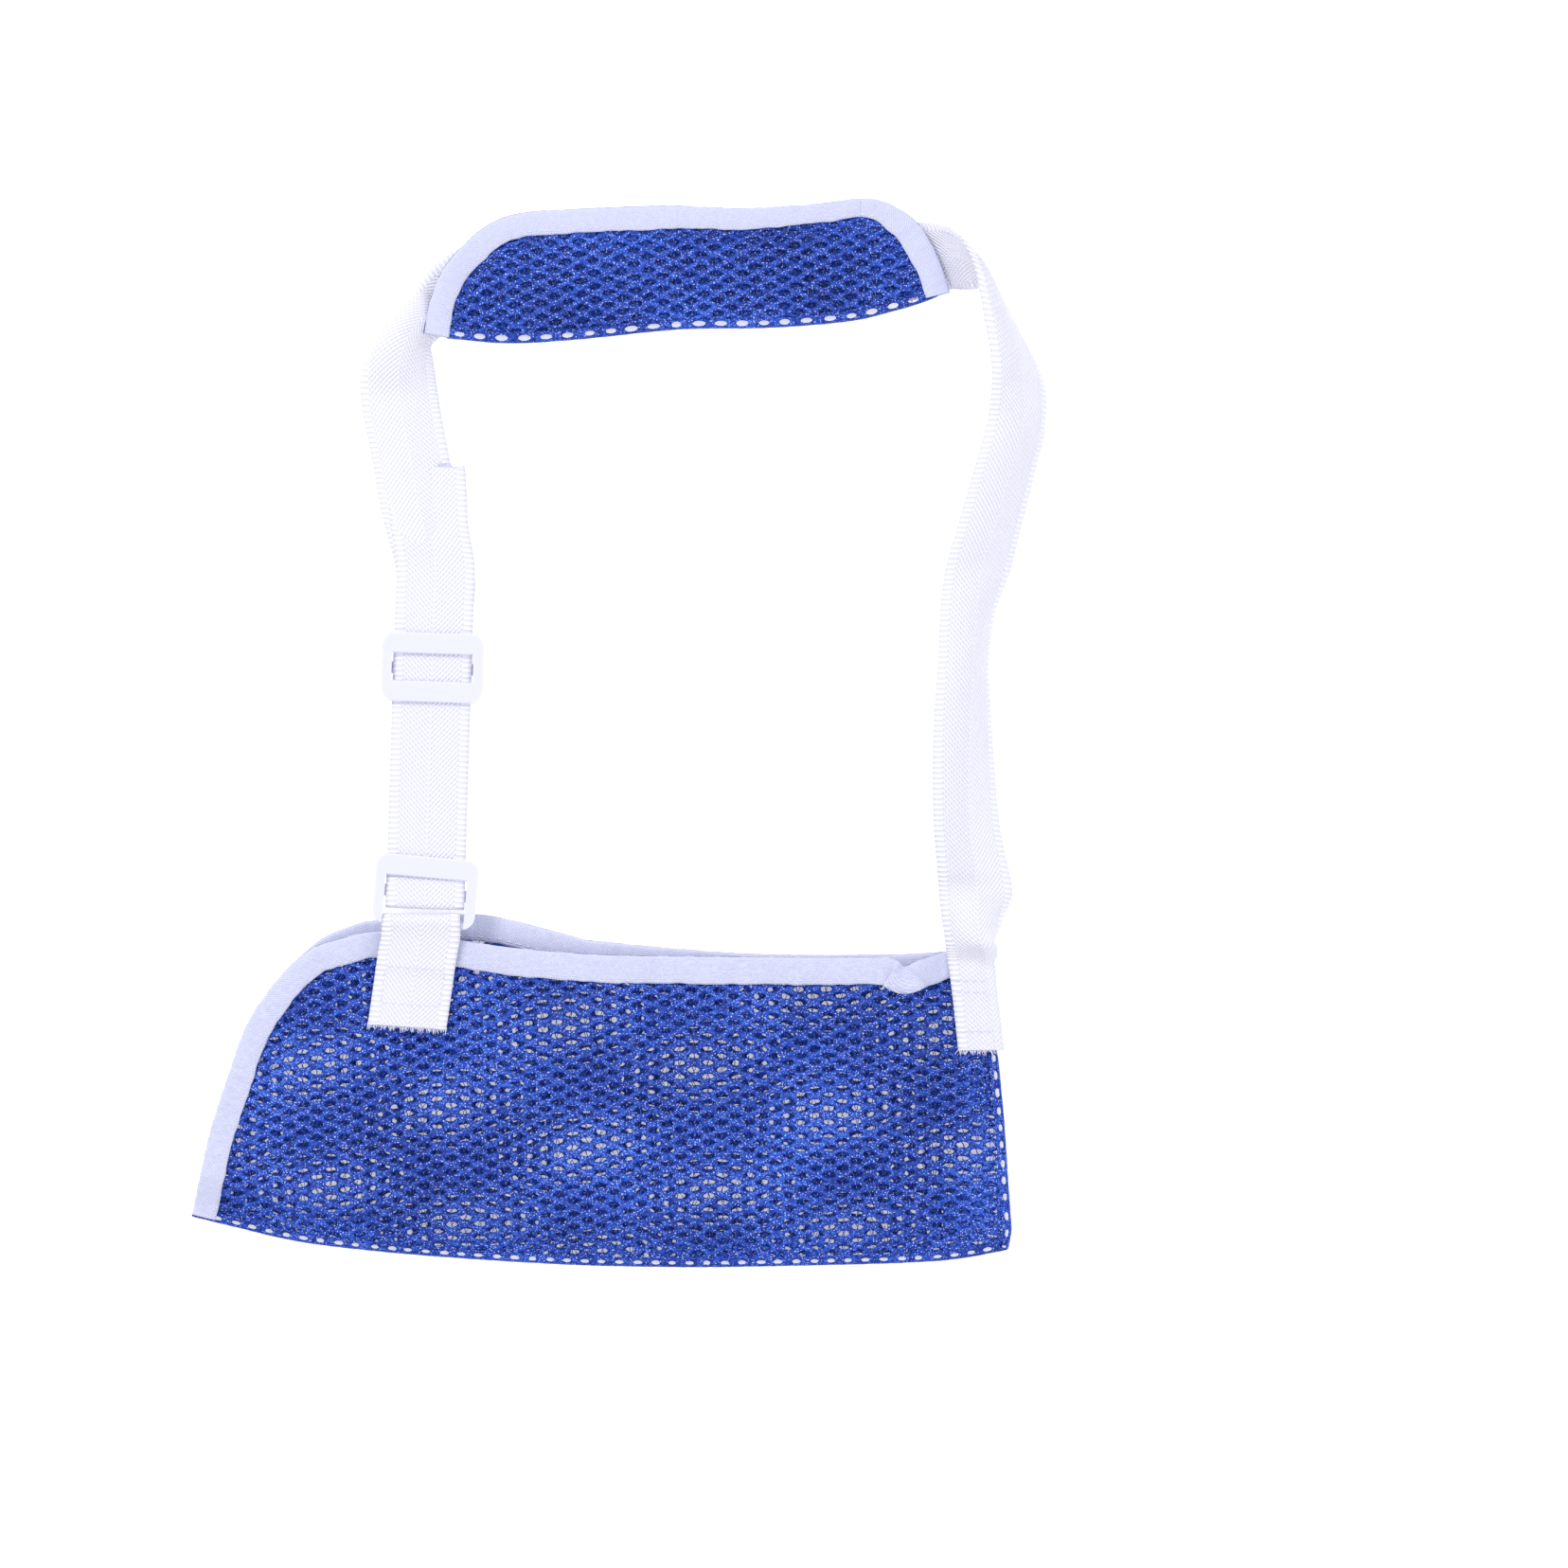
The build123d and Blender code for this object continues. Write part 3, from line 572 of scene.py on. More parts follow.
def two_faced(points, faces, half, z):
    """A closed cloth from its plan: an upper and a lower face that meet along every rim."""
    apart = np.flatnonzero(half > 0)
    under = np.arange(len(points))
    under[apart] = len(points) + np.arange(len(apart))
    verts = np.vstack([np.column_stack([points, z + half]), np.column_stack([points, z - half])[apart]])
    lower = [[int(under[v]) for v in ring[::-1]] for ring in faces]
    return verts, faces + lower, np.vstack([points, points[apart]])


def cloth_piece(name, node, ring, height, turn, stretch, shift):
    verts, faces, uv = perforated(ring, height, turn, stretch, shift, CLOTH_T)
    obj = build(name, verts, faces, MESH, uv)
    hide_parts(node)
    return obj


# The back's wider pitch makes the see-through patches where its holes meet the front's.
front = cloth_piece("front_mesh_panel", "front_panel", FRONT_CLOTH, front_height, 1.5, 1.0, (0.4, 0.3))
back = cloth_piece("back_mesh_panel", "back_panel", BACK_CLOTH, back_height, 0.7, 1.12, (1.1, -0.6))
for piece in (front, back):
    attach(piece, "pouch")


def pad_middle(p):
    """Between the pad's layers; the strap that turns behind the pad lifts both of its ends."""
    lift = 2.0 * smooth01((-34.0 - p[:, 0]) / 16.0) + 0.5 * smooth01((p[:, 0] - 92.0) / 10.0)
    return 2.85 + lift


def pad_crown(p):
    """0 along the pad's edges, 1 where its layers may stand apart."""
    taped, _ = edge_distance(p, PAD_EDGE[::3])
    folded, _ = edge_distance(p, PAD_LOW)
    return smooth01((taped - 7.0) / 7.0) * smooth01(folded / 7.0)


def pad_top_height(p):
    soft = 0.3 * waves(p[:, 0], p[:, 1], PAD_RIPPLE)
    return pad_middle(p) + 0.3 + (0.9 + soft) * pad_crown(p)


def pad_under_height(p):
    return pad_middle(p) - 0.3 - 0.3 * pad_crown(p)


pad_top = perforated(PAD_CLOTH, pad_top_height, 2.5, 1.0, (0.2, 0.5), PAD_CLOTH_T)
pad_under = perforated(PAD_CLOTH, pad_under_height, 2.3, 1.004, (4.1, 0.5), PAD_CLOTH_T)
count = len(pad_top[0])
pad = build(
    "pad_mesh_folded",
    np.vstack([pad_top[0], pad_under[0]]),
    pad_top[1] + [[i + count for i in f] for f in pad_under[1]],
    MESH,
    np.vstack([pad_top[2], pad_under[2] + 1.3]),
)
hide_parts("pad_mesh")
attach(pad, "shoulder_strap")


# ---- rolled seams of blue cloth -----------------------------------------------------------
def rolled(name, line, heights, half_w, half_h, body, seed):
    """A thin rolled edge of cloth along a line."""
    line3 = np.column_stack([line, heights])
    t = tangents(line3)
    side = np.column_stack([t[:, 1], -t[:, 0], np.zeros(len(t))])
    s = lengths(line3)
    swell = 1 + wobble(s, 0.10, 6.0, seed)
    a = np.arange(10) * 2 * pi / 10
    sections = (
        line3[:, None]
        + side[:, None] * (np.cos(a)[None, :, None] * half_w * swell[:, None, None])
        + UP * (np.sin(a)[None, :, None] * half_h * swell[:, None, None])
    )
    uv = np.stack([np.repeat(s, 10), np.tile(a, len(s))], 1)
    obj = build(name, sections.reshape(-1, 3), loop_solid(sections), MESH, uv)
    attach(obj, body)


def scallops(name, line, in_way, height, pitch, depth, hole, thickness, body):
    """The row of holes along a folded or sewn edge, in one narrow strip of cloth."""
    s = lengths(line)
    n = int(s[-1] / pitch)
    pitch = s[-1] / n
    a = np.arange(16) * pi / 8
    round_ring = np.stack([np.cos(a), np.sin(a)], 1)
    square = round_ring / np.abs(round_ring).max(1, keepdims=True)
    verts, uv, faces = [], [], []
    for i in range(n):
        middle = np.array([(i + 0.5) * pitch, depth * 0.5])
        size = hole * (1 + RNG.uniform(-0.18, 0.14, 2))
        inner = middle + round_ring * size + np.array([RNG.uniform(-0.35, 0.35), -depth * 0.08])
        outer = middle + square * np.array([pitch / 2, depth / 2])
        start = len(verts)
        for ring, level in ((inner, 0.0), (inner * 0.45 + outer * 0.55, 0.8), (outer, 1.0)):
            for sign in (1, -1):
                for q in ring:
                    at = min(max(q[0], 0), s[-1])
                    base = np.array([np.interp(at, s, line[:, 0]), np.interp(at, s, line[:, 1])])
                    way = np.array([np.interp(at, s, in_way[:, 0]), np.interp(at, s, in_way[:, 1])])
                    xy = base + way * q[1]
                    taper = 0.45 + 0.55 * smooth01(np.array(q[1] / 1.2))
                    verts.append((xy[0], xy[1], sign * level * thickness / 2 * taper))
                    uv.append((q[0], q[1]))
        k = np.arange(16)
        k2 = (k + 1) % 16
        for r in (0, 2):
            for side, flip in ((0, 1), (1, -1)):
                lower = start + (r + side) * 16
                upper = start + (r + 2 + side) * 16
                quads = np.stack([lower + k, upper + k, upper + k2, lower + k2], 1)[:, ::flip]
                faces += quads.tolist()
        rim = start + 4 * 16
        under = start + 5 * 16
        faces += np.stack([rim + k, under + k, under + k2, rim + k2], 1).tolist()
    verts = np.array(verts)
    verts[:, 2] += height(verts[:, :2])
    obj = build(name, verts, faces, MESH, np.array(uv))
    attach(obj, body)


def hem_height(p):
    return np.full(len(p), 1.85)


HEM_LAP = 0.5  # how far a hem's strip runs under the perforated cloth
seam_line = even(CLOSED_EDGE, 0.7)
seam_in = inwards(seam_line, POUCH_MIDDLE)
scallops("closed_edge_hem", seam_line, seam_in, hem_height, 5.3, EDGE_HEM + HEM_LAP,
         np.array([1.25, 0.6]), 1.2, "pouch")
rolled("closed_edge_roll", seam_line + seam_in * 0.2, hem_height(seam_line), 0.42, 0.75, "pouch", 3)
pad_line = even(PAD_LOW, 0.7)
pad_in = inwards(pad_line, PAD_MIDDLE)
scallops("pad_fold_hem", pad_line, pad_in, pad_middle, 6.4, PAD_HEM + HEM_LAP,
         np.array([1.75, 0.8]), 1.3, "shoulder_strap")
rolled("pad_fold_roll", pad_line + pad_in * 0.1, pad_middle(pad_line), 0.38, 0.6, "shoulder_strap", 5)


# ---- binding tapes ------------------------------------------------------------------------
def tape_section(top_z, low_z):
    """One skin of a bound edge, from the top leg's edge round the fold to the lower leg's edge.

    Distances run inwards from the tape's outer edge, as shares of the tape's width."""
    fold = 0.12
    legs = np.linspace(1, 0, 12)[:-1]
    top = [(fold + (1.0 - fold) * u, top_z) for u in legs]
    arc = [(fold - fold * sin(a), (top_z + low_z) / 2 + (top_z - low_z) / 2 * cos(a))
           for a in np.linspace(0, pi, 7)]
    low = [(fold + (1.0 - fold) * u, low_z) for u in legs[::-1]]
    return np.array(top + arc + low)


def tape(name, node, line, cloth_z, width, gap, body, seed, dips=()):
    """Tape folded round a cloth edge along a line whose inside lies to its right.

    The width is given at shares of the length, and each dip as its place, size and rise."""
    t = tangents(line)
    inward = np.column_stack([t[:, 1], -t[:, 0]])
    for _ in range(3):
        inward[1:-1] = (inward[:-2] + inward[1:-1] + inward[2:]) / 3
    inward /= np.linalg.norm(inward, axis=1, keepdims=True)
    s = lengths(line)
    half = gap / 2
    outer = tape_section(half + TAPE_T, -half - TAPE_T)
    profile = np.vstack([outer, tape_section(half, -half)[::-1]])
    upper = profile[:, 1] > 0
    depth = profile[:, 0].copy()
    depth[len(outer):] = 0.06 + depth[len(outer):] * 0.94
    w = np.clip(depth, 0, 1)
    widths = np.interp(s / s[-1], [f for f, _ in width], [w for _, w in width]) + wobble(s, 0.2, 14.0, seed)
    puckers = wobble(s, 0.16, 4.1, seed + 1)
    slow = wobble(s, 0.25, 23.0, seed + 2)
    skew = wobble(s, 0.35, 5.3, seed + 3)
    rows = []
    for i in range(len(line)):
        bend = np.sin(pi * w) * (0.28 + slow[i] * 0.6) + puckers[i] * np.sin(pi * np.clip(w * 1.25, 0, 1))
        shift = np.where(upper, skew[i] * w * 0.4, 0)
        xy = line[i] + inward[i] * (depth * widths[i])[:, None] + t[i] * shift[:, None]
        z = profile[:, 1] + np.where(upper, bend, -bend * 0.35)
        for place, size, rise in dips:
            fall = np.exp(-(((s[i] - place) - 2.5 * w) / size) ** 2)
            z = z + fall * rise * np.sin(pi * (0.15 + 0.85 * w)) * np.where(upper, 1, 0)
        rows.append(np.column_stack([xy, z]))
    sections = np.array(rows)
    sections[..., 2] += cloth_z(sections[..., :2].reshape(-1, 2)).reshape(sections.shape[:2])
    around = lengths(np.column_stack([profile[:, 0] * width[0][1], profile[:, 1]]))
    uv = np.stack([np.repeat(s, len(profile)), np.tile(around, len(s))], 1)
    obj = build(name, sections.reshape(-1, 3), loop_solid(sections), TAPE, uv)
    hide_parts(node)
    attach(obj, body)
    seam = sections[:, 2].copy()  # the third column lies just inside the top leg's edge
    seam[:, 2] += 0.05
    return seam


STITCH_SHAPE = ((0.0, 0.3, 0.05), (0.18, 0.85, 0.75), (0.5, 1.0, 1.0), (0.82, 0.85, 0.75), (1.0, 0.3, 0.05))


def stitches(name, nodes, path, body, length=1.9, gap=1.1, width=0.4, height=0.26, material=THREAD):
    """Single stitches, each a rounded bar sunk at both ends, along a path on a surface."""
    s = lengths(path)
    verts = []
    faces = []
    at = 0.3
    while at + length < s[-1]:
        start = len(verts)
        for f, w, h in STITCH_SHAPE:
            here = at + f * length
            p = np.array([np.interp(here, s, path[:, i]) for i in range(3)])
            q = np.array([np.interp(min(here + 0.4, s[-1]), s, path[:, i]) for i in range(3)])
            along = q - p
            along /= max(np.linalg.norm(along), 1e-9)
            side = np.cross(along, UP)
            for a in np.arange(8) * pi / 4:
                verts.append(p + side * cos(a) * width / 2 * w + UP * (sin(a) * height * h))
        faces += tube_faces(5, 8, start)
        faces += [[start + k for k in range(8)][::-1], [start + 32 + k for k in range(8)]]
        at += length + gap
    obj = build(name, verts, faces, material, np.array(verts)[:, :2])
    if nodes:
        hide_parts(*nodes)
    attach(obj, body)


front_line = FRONT_EDGE[1:-5]
pucker = np.argmin(np.linalg.norm(front_line - np.array([92.2, 43.8]), axis=1))
pucker_at = lengths(front_line)[pucker]
path = tape("front_tape", "front_binding", front_line, front_tape_height,
            [(0, 7.3), (0.3, 7.8), (0.5, 8.4), (1, 8.3)], 0.7, "pouch", 11,
            dips=[(pucker_at - 2.1, 0.9, 2.3), (pucker_at + 2.2, 1.1, 1.5), (pucker_at, 0.7, -0.3)])
stitches("front_tape_stitches", ["front_binding_stitching"], path[4:-6], "pouch")
path = tape("back_tape", "back_binding", BACK_EDGE[3:-8], back_tape_height,
            [(0, 7.3), (0.3, 7.8), (1, 8.2)], 0.6, "pouch", 31)
stitches("back_tape_stitches", ["back_binding_stitching"], path[4:-6], "pouch")

# Seams along the closed edges.
inner_line = seam_line + seam_in * 3.2
bottom_part = inner_line[inner_line[:, 1] < -28]
elbow_part = inner_line[(inner_line[:, 1] > -40) & (inner_line[:, 0] > 100) & (inner_line[:, 1] < 40)]
for name, node, part in (("bottom_seam_stitches", "bottom_seam_stitching", bottom_part),
                         ("elbow_seam_stitches", "elbow_seam_stitching", elbow_part)):
    path = np.column_stack([part, front_height(part) + 0.3])
    stitches(name, [node], path, "pouch", length=2.2, gap=0.9, width=0.35, height=0.2, material=MESH)

# Pad tapes: the second laps over the first near the pad's upper right corner.
lap_at = np.argmin(np.linalg.norm(PAD_EDGE - np.array([80.5, 277.0]), axis=1))
path_a = tape("pad_tape", "pad_binding", PAD_EDGE[: lap_at + 8], pad_middle,
              [(0, 7.6), (0.55, 7.3), (1, 5.4)], 1.3, "shoulder_strap", 51)
path_b = tape("pad_end_tape", "pad_end_binding", PAD_EDGE[lap_at - 3:], pad_middle,
              [(0, 5.6), (0.25, 7.2), (0.6, 8.2), (1, 7.4)], 1.6, "shoulder_strap", 71)
path = np.vstack([path_a[3:-8], path_b[3:-3]])
stitches("pad_tape_stitches", ["pad_binding_stitching"], path, "shoulder_strap")


# ---- webbing ------------------------------------------------------------------------------
COLS = 19  # points across the webbing
ROW_STEP = 0.37  # spacing of its rows of points along the middle
MOST_BULGE = 14.0


def ribbon(name, stations, nodes):
    """Webbing between the two edge lines of its stations, cut to its true width: where the
    edges stand closer than the width the cloth bulges the given way, and a fold of 1 doubles
    it over. A station's slack is the share of the width that is kept there."""
    dense = catmull(stations, 1.0)
    a, b, way, k = dense[:, :3], dense[:, 3:6], dense[:, 6:9], np.clip(dense[:, 9:10], 0, 1)
    way /= np.maximum(np.linalg.norm(way, axis=1, keepdims=True), 1e-9)
    target = WEB_W * np.clip(dense[:, 10], 0.5, 1)
    mid = (a + b) / 2
    chord = np.linalg.norm(b - a, axis=1)
    scale = np.where(chord > WEB_W, WEB_W / chord, 1.0)[:, None]
    a, b = mid + (a - mid) * scale, mid + (b - mid) * scale
    v = np.linspace(0, 1, 61)
    s = ((1 - k) * v + k * smooth01((v - 0.40) / 0.20))[..., None]
    h = (1 - k) * np.sin(pi * v**0.75) + k * (1 - np.abs(2 * v - 1) ** 1.15)
    low, high = np.zeros(len(a)), np.full(len(a), MOST_BULGE)
    for _ in range(28):
        m = (low + high) / 2
        p = a[:, None] * (1 - s) + b[:, None] * s + way[:, None] * (m[:, None] * h)[..., None]
        short = np.linalg.norm(np.diff(p, axis=1), axis=2).sum(1) < target
        low = np.where(short, m, low)
        high = np.where(short, high, m)
    surf = np.array([resampled(row, lengths(row), COLS) for row in p])
    centre_s = lengths(surf[:, COLS // 2])
    count = int(centre_s[-1] / ROW_STEP) + 1
    fine = np.stack([resampled(surf[:, j], centre_s, count) for j in range(COLS)], 1)
    kernel = np.array([1, 2, 3, 2, 1]) / 9
    for _ in range(2):
        padded = np.pad(fine, ((2, 2), (0, 0), (0, 0)), mode="edge")
        fine = sum(kernel[q] * padded[q: q + count] for q in range(5))
    n = np.cross(np.gradient(fine, axis=1), np.gradient(fine, axis=0))
    n /= np.maximum(np.linalg.norm(n, axis=2, keepdims=True), 1e-9)
    along_at = np.linspace(0, centre_s[-1], count)
    across_at = np.linspace(0, WEB_W, COLS)
    from_edge = np.minimum(across_at, WEB_W - across_at)
    rib = np.sin(along_at * 2 * pi / RIB)[:, None] * (from_edge < SELVEDGE) * 0.07
    half = (WEB_T / 2 * np.where(from_edge < 0.4, 0.55, 1.0) + rib)[..., None]
    loop = np.concatenate([fine + n * half, (fine - n * half)[:, ::-1]], 1)
    uv_v = np.concatenate([across_at, across_at[::-1]])
    uv = np.stack([np.repeat(along_at, 2 * COLS), np.tile(uv_v, count)], 1)
    obj = build(name, loop.reshape(-1, 3), loop_solid(loop), WEBBING, uv)
    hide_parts(*nodes)
    return obj, fine, centre_s[-1]


def frayed(name, edge, out_way, body, seed):
    """Loose yarn ends along a cut end of webbing."""
    r = np.random.default_rng(seed)
    verts = []
    faces = []
    for p in even(edge, 0.34):
        reach = r.uniform(0.5, 1.9)
        way = out_way + r.normal(0, 0.28, 3) * np.array([1, 1, 0.25])
        way /= np.linalg.norm(way)
        side = np.cross(way, UP)
        side /= np.linalg.norm(side)
        up = np.cross(side, way)
        curl = side * r.uniform(-0.5, 0.5)
        start = len(verts)
        for f, w in ((-0.35, 0.16), (0.35, 0.15), (0.75, 0.12), (1.0, 0.05)):
            q = p + way * reach * f + curl * max(f, 0) ** 2
            for a in np.arange(5) * 2 * pi / 5:
                verts.append(q + side * cos(a) * w + up * sin(a) * w)
        faces += tube_faces(4, 5, start)
        faces += [[start + k for k in range(5)][::-1], [start + 15 + k for k in range(5)]]
    obj = build(name, verts, faces, THREAD, np.array(verts)[:, :2])
    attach(obj, body)


# Frame of the doubled strap, as in the CAD.
PIVOT = np.array([-54.3, 56.7, 11.1])  # axis of the lower buckle's pivot bar
ELBOW = np.array([113.9, 41.4, 3.3])  # where the strap bends above its sewn end
TILT, SLOPE = radians(1.6), radians(4.3)
HINGE = (ELBOW - PIVOT) / np.linalg.norm(ELBOW - PIVOT)
DIR = np.array([sin(TILT) * cos(SLOPE), cos(TILT) * cos(SLOPE), -sin(SLOPE)])
NORMAL = np.cross(HINGE, DIR)
NORMAL /= np.linalg.norm(NORMAL)
BAR = PIVOT + np.cross(NORMAL, HINGE) * 9.0  # the buckle's centre bar
ACROSS = np.cross(DIR, NORMAL)


def on_stack(along, height):
    """Both edges of the doubled strap at a distance from the centre bar."""
    middle = BAR + DIR * along + NORMAL * height
    return middle - ACROSS * WEB_W / 2, middle + ACROSS * WEB_W / 2


def station(a, b, way=(0, 0, 1), fold=0.0, slack=1.0):
    """A cross-section of the webbing: its two edges, which way it bulges, fold and slack."""
    return [*a, *b, *way, fold, slack]


REST = 0.6  # middle of webbing that lies on the surface


def turned(a, b, cut, most, way):
    """A station whose first edge stands up as far as the width between the edges asks for."""
    span = hypot(b[0] - a[0], b[1] - a[1])
    rise = min(max((WEB_W * cut) ** 2 - span**2, 0) ** 0.5, most)
    return station((*a, REST + rise), (*b, REST), way)


# The strap, from its tail down to the centre bar, round it, up to the pad and down to the elbow.
strap_run = [
    station((-65.7, 196.4, 1.9), (-41.6, 195.5, 1.9)),
    station((-65.2, 188.0, 2.15), (-41.2, 187.6, 2.15)),
    station((-64.6, 178.0, 2.6), (-40.7, 177.4, 2.6)),
]
ROUND_BAR = [(-3.1 + 1.5 * cos(radians(turn)), 1.5 * sin(radians(turn))) for turn in range(95, 271, 25)]
stack = [(along, 0.45) for along in (100, 85, 60, 30, 12, 5.5)] + [(2.8, 1.2)] + ROUND_BAR
stack += [(2.8, -1.2)] + [(along, -0.45) for along in (5.5, 12, 30, 60, 85, 98)]
strap_run += [station(*on_stack(along, height), way=NORMAL) for along, height in stack]
LEFT_RUN = [
    ((-67.2, 181.5, 1.0), (-43.8, 182.0, 1.0), 1), ((-69.9, 196.8, 0.5), (-46.6, 198.0, 0.55), 1),
    ((-72.5, 209.8, 0.6), (-49.1, 211.5, 0.5), 1), ((-73.7, 219.1, 1.4), (-50.2, 218.6, 0.5), 1),
    ((-72.8, 226.9, 3.0), (-51.0, 223.6, 0.5), 1), ((-69.2, 235.4, 4.0), (-51.8, 228.8, 0.5), 0.95),
    ((-63.4, 242.4, 4.0), (-52.0, 233.0, 0.5), 0.78), ((-56.0, 251.2, 2.0), (-45.5, 237.5, 0.5), 0.73),
    ((-49.3, 258.6, 0.8), (-36.5, 240.5, 0.5), 0.93), ((-37.6, 264.2, 0.6), (-26.0, 243.3, 0.5), 1),
]
strap_run += [station(a, b, slack=slack) for a, b, slack in LEFT_RUN]
BEHIND_PAD = [
    ((-10.4, 267.3), (-6.9, 243.6)), ((35.8, 268.2), (35.8, 244.2)),
    ((76.3, 268.8), (76.3, 245.1)), ((92.2, 270.2), (94.2, 246.2)),
]
strap_run += [station((*a, REST), (*b, REST)) for a, b in BEHIND_PAD]
strap_run += [
    station((99.0, 270.0, 0.6), (105.6, 249.6, 0.6), slack=0.90),
    station((103.0, 269.3, 3.2), (109.4, 249.8, 0.6), (0.25, 0.1, 1.0), slack=0.92),
]
CORNER = [
    ((106.5, 267.5), (113.8, 249.9)), ((110.6, 262.0), (119.4, 250.8)), ((113.4, 255.4), (122.4, 245.6)),
    ((115.0, 247.6), (125.4, 240.2)), ((116.6, 238.4), (129.0, 233.5)), ((118.2, 228.3), (132.9, 226.0)),
    ((118.4, 219.6), (135.3, 218.2)),
]
strap_run += [turned(a, b, 0.98, 16.5, (0.25, 0.1, 1.0)) for a, b in CORNER]
RIGHT_RUN = [
    ((117.3, 209.5), (135.0, 207.5)), ((114.4, 198.5), (133.2, 198.5)), ((108.1, 176.9), (127.4, 175.7)),
    ((104.3, 163.3), (124.3, 163.3)), ((102.9, 150.3), (119.6, 150.3)), ((102.3, 135.8), (117.9, 135.8)),
    ((101.2, 121.4), (118.5, 121.4)), ((100.6, 104.0), (119.6, 104.0)), ((100.9, 86.7), (121.1, 86.7)),
    ((102.0, 73.7), (123.7, 73.7)), ((102.6, 66.5), (125.1, 65.3)),
]
strap_run += [turned(a, b, 0.985, 12.5, (0.5, 0, 0.9)) for a, b in RIGHT_RUN]
strap_run += [
    station((103.5, 59.0, 6.5), (122.6, 59.0, 0.6), (0.4, 0, 1.0)),
    station((104.6, 51.5, 5.8), (119.6, 51.5, 0.6), (0.6, 0, 0.8), 0.1),
]
BUNDLE = [
    ((105.3, 45.5, 5.2), (112.0, 45.5, 0.55), 0.75), ((105.9, 41.4, 4.8), (112.0, 41.4, 0.5), 1.0),
    ((106.7, 35.0, 4.5), (112.0, 35.0, 0.45), 1.0), ((107.6, 27.0, 4.0), (112.6, 27.0, 0.45), 1.0),
    ((108.6, 17.4, 3.7), (113.4, 17.4, 0.45), 1.0),
]
strap_run += [station(a, b, (1, 0, 0), fold) for a, b, fold in BUNDLE]

strap, surface, strap_length = ribbon("strap_webbing", strap_run, ["shoulder_strap", "strap_sewn_end"])
ahead = np.array([-HINGE[1], HINGE[0], 0])
ahead /= np.linalg.norm(ahead)
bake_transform(strap)
frayed("sewn_end_fray", surface[-1][:10], np.array([0.05, -1.0, -0.1]), "pouch", 13)
frayed("strap_tail_fray", surface[0], np.array([0.03, 1.0, -0.05]), "shoulder_strap", 5)

# Tab: webbing doubled through the buckle, sewn to the front panel.
VAULT_TOP = 8.4
LOW = VAULT_TOP + 0.1 + WEB_T / 2 - PIVOT[2]  # middle of the tab's lower leg below the pivot
TAB_LOOP_R = 2.1


def on_tab(y, z):
    """Both edges of the tab at a distance from the pivot; its legs slant away below the tape."""
    slant = smooth01((-y - 2.0) / 8.0) * (-y - 2.0)
    middle = PIVOT + np.array([-0.145 * slant - 0.5, y, z])
    turn = radians(4.0) * smooth01(-y / 12.0)
    way = np.array([cos(turn), -sin(turn), 0])
    tilt = np.array([0, 0, HINGE[2] / HINGE[0]]) * (1 - smooth01(-y / 14.0))
    return middle - (way + tilt) * WEB_W / 2, middle + (way + tilt) * WEB_W / 2


LOWER_LEG = [(-30.0, 0), (-22.0, 0), (-16.5, 0), (-13.8, 0.9), (-8.0, 1.0), (-4.2, 0.75)]
UPPER_LEG = [(-4.0, 2.9), (-9.0, 2.2), (-13.4, 1.9), (-17.0, 1.1), (-23.0, 0.95), (-32.0, 0.9)]
tab_line = [(y, LOW + lift) for y, lift in LOWER_LEG]
tab_line += [(0.5 + TAB_LOOP_R * cos(radians(d)), TAB_LOOP_R * sin(radians(d))) for d in range(-90, 101, 19)]
tab_line += [(y, LOW + lift) for y, lift in UPPER_LEG]
tab_run = [station(*on_tab(y, z)) for y, z in tab_line]
tab, tab_surface, tab_length = ribbon("tab_webbing", tab_run, ["buckle_tab"])
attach(tab, "pouch")
frayed("tab_fray", tab_surface[-1], np.array([-0.1, -1.0, -0.05]), "pouch", 9)


# Tab and sewn-end stitches lie on the webbing itself.
def on_surface(grid, runs, lift):
    """Paths on a ribbon between places given as shares of its rows and columns."""
    paths = []
    rows, cols = grid.shape[:2]
    for (r0, c0), (r1, c1) in runs:
        f = np.linspace(0, 1, 40)
        r = np.clip((r0 + (r1 - r0) * f) * (rows - 1), 0, rows - 1.001)
        c = np.clip((c0 + (c1 - c0) * f) * (cols - 1), 0, cols - 1.001)
        ri, ci = r.astype(int), c.astype(int)
        rf, cf = (r - ri)[:, None], (c - ci)[:, None]
        p = (grid[ri, ci] * (1 - rf) * (1 - cf) + grid[ri + 1, ci] * rf * (1 - cf)
             + grid[ri, ci + 1] * (1 - rf) * cf + grid[ri + 1, ci + 1] * rf * cf)
        paths.append(p + UP * lift)
    return paths


def seam_pieces(name, node, paths, body):
    """One piece of stitches for each path; the first stands for the node."""
    for i, path in enumerate(paths):
        stitches(f"{name}_{i + 1}", [node] if i == 0 else [], path, body, gap=0.7, width=0.42, height=0.24)


seam_pieces("tab_stitches", "tab_stitching", on_surface(tab_surface, [
    ((0.90, 0.12), (0.90, 0.88)), ((0.74, 0.12), (0.74, 0.88)),
    ((0.90, 0.12), (0.74, 0.12)), ((0.90, 0.88), (0.74, 0.88)),
], WEB_T / 2), "pouch")
seam_pieces("strap_end_stitches", "strap_end_stitching", on_surface(surface, [
    ((row, 0.03), (row, 0.46)) for row in [1 - from_end / strap_length for from_end in (6.0, 18.0, 21.5)]
], WEB_T / 2 + 0.1), "pouch")
tack_y = np.linspace(244.5, 256.5, 20)
tacks = [np.column_stack([np.full(20, x), tack_y, np.full(20, 1.5)]) for x in (-41.5, 94.5)]
seam_pieces("pad_tacks", "pad_tack_stitching", tacks, "shoulder_strap")

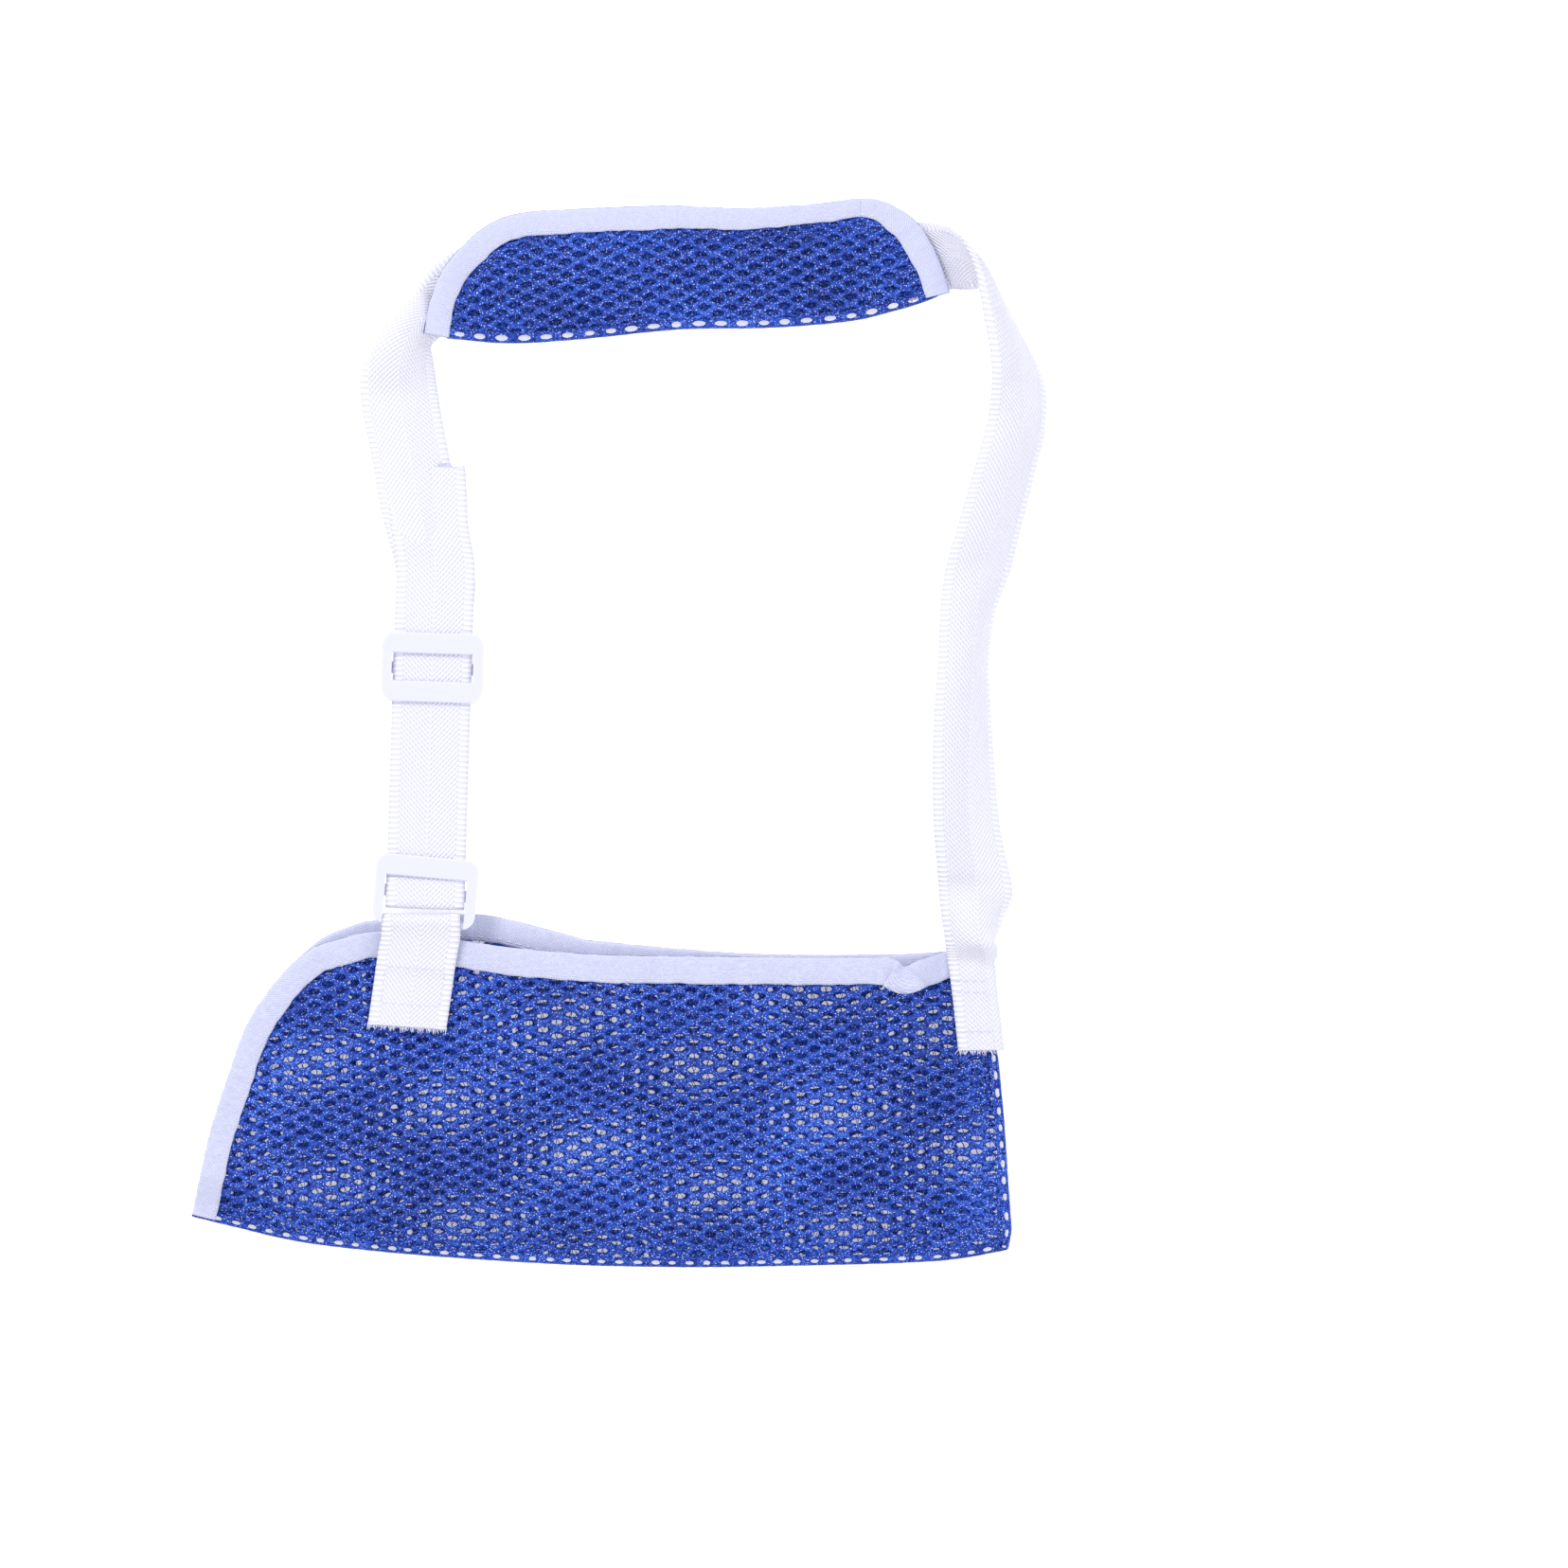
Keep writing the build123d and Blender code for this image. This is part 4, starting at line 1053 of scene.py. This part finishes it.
# ---- mouldings keep the CAD's own shape ---------------------------------------------------
for node in ("lower_buckle", "upper_slider"):
    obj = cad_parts[node]
    obj.data.materials.clear()
    obj.data.materials.append(PLASTIC)
    obj.data.polygons.foreach_set("use_smooth", [True] * len(obj.data.polygons))
    obj.data.set_sharp_from_angle(angle=radians(32))


# ---- stage, light, camera -----------------------------------------------------------------
FLOOR_HALF = 3.0
FLOOR_Z = -0.0003
floor_mesh = bpy.data.meshes.new("floor")
corners = [(-1, -1), (1, -1), (1, 1), (-1, 1)]
floor_mesh.from_pydata([(x * FLOOR_HALF, y * FLOOR_HALF, FLOOR_Z) for x, y in corners], [], [(0, 1, 2, 3)])
floor_mesh.materials.append(floor_material())
floor = bpy.data.objects.new("floor", floor_mesh)
bpy.context.scene.collection.objects.link(floor)

world = bpy.data.worlds.new("studio")
world.use_nodes = True
put(world.node_tree.nodes["Background"], {"Color": (0.97, 0.98, 1.0, 1), "Strength": 0.92})
bpy.context.scene.world = world


def area_light(name, place, target, size, power, colour):
    data = bpy.data.lights.new(name, "AREA")
    data.shape = "DISK"
    data.size = size
    data.energy = power
    data.color = colour
    light = bpy.data.objects.new(name, data)
    light.location = place
    light.rotation_euler = (Vector(target) - Vector(place)).to_track_quat("-Z", "Y").to_euler()
    bpy.context.scene.collection.objects.link(light)


CENTRE = (0.0555, 0.0988, 0.0)  # middle of the photograph, on the surface
DISTANCE = 2.4
SENSOR = 36.0
FRAME_WIDTH = 0.4786  # how much of the surface the photograph is wide
area_light("key", (-0.75, 0.95, 1.15), CENTRE, 0.6, 10.0, (1.0, 0.99, 0.97))
area_light("fill", (1.1, -0.4, 1.3), CENTRE, 1.4, 6.0, (0.95, 0.97, 1.0))

camera_data = bpy.data.cameras.new("camera")
camera_data.sensor_width = SENSOR
camera_data.lens = SENSOR * DISTANCE / FRAME_WIDTH
camera_data.clip_end = 20.0
camera = bpy.data.objects.new("camera", camera_data)
camera.location = (CENTRE[0], CENTRE[1], DISTANCE)
bpy.context.scene.collection.objects.link(camera)
bpy.context.scene.camera = camera
bpy.context.scene.view_settings.view_transform = "Standard"
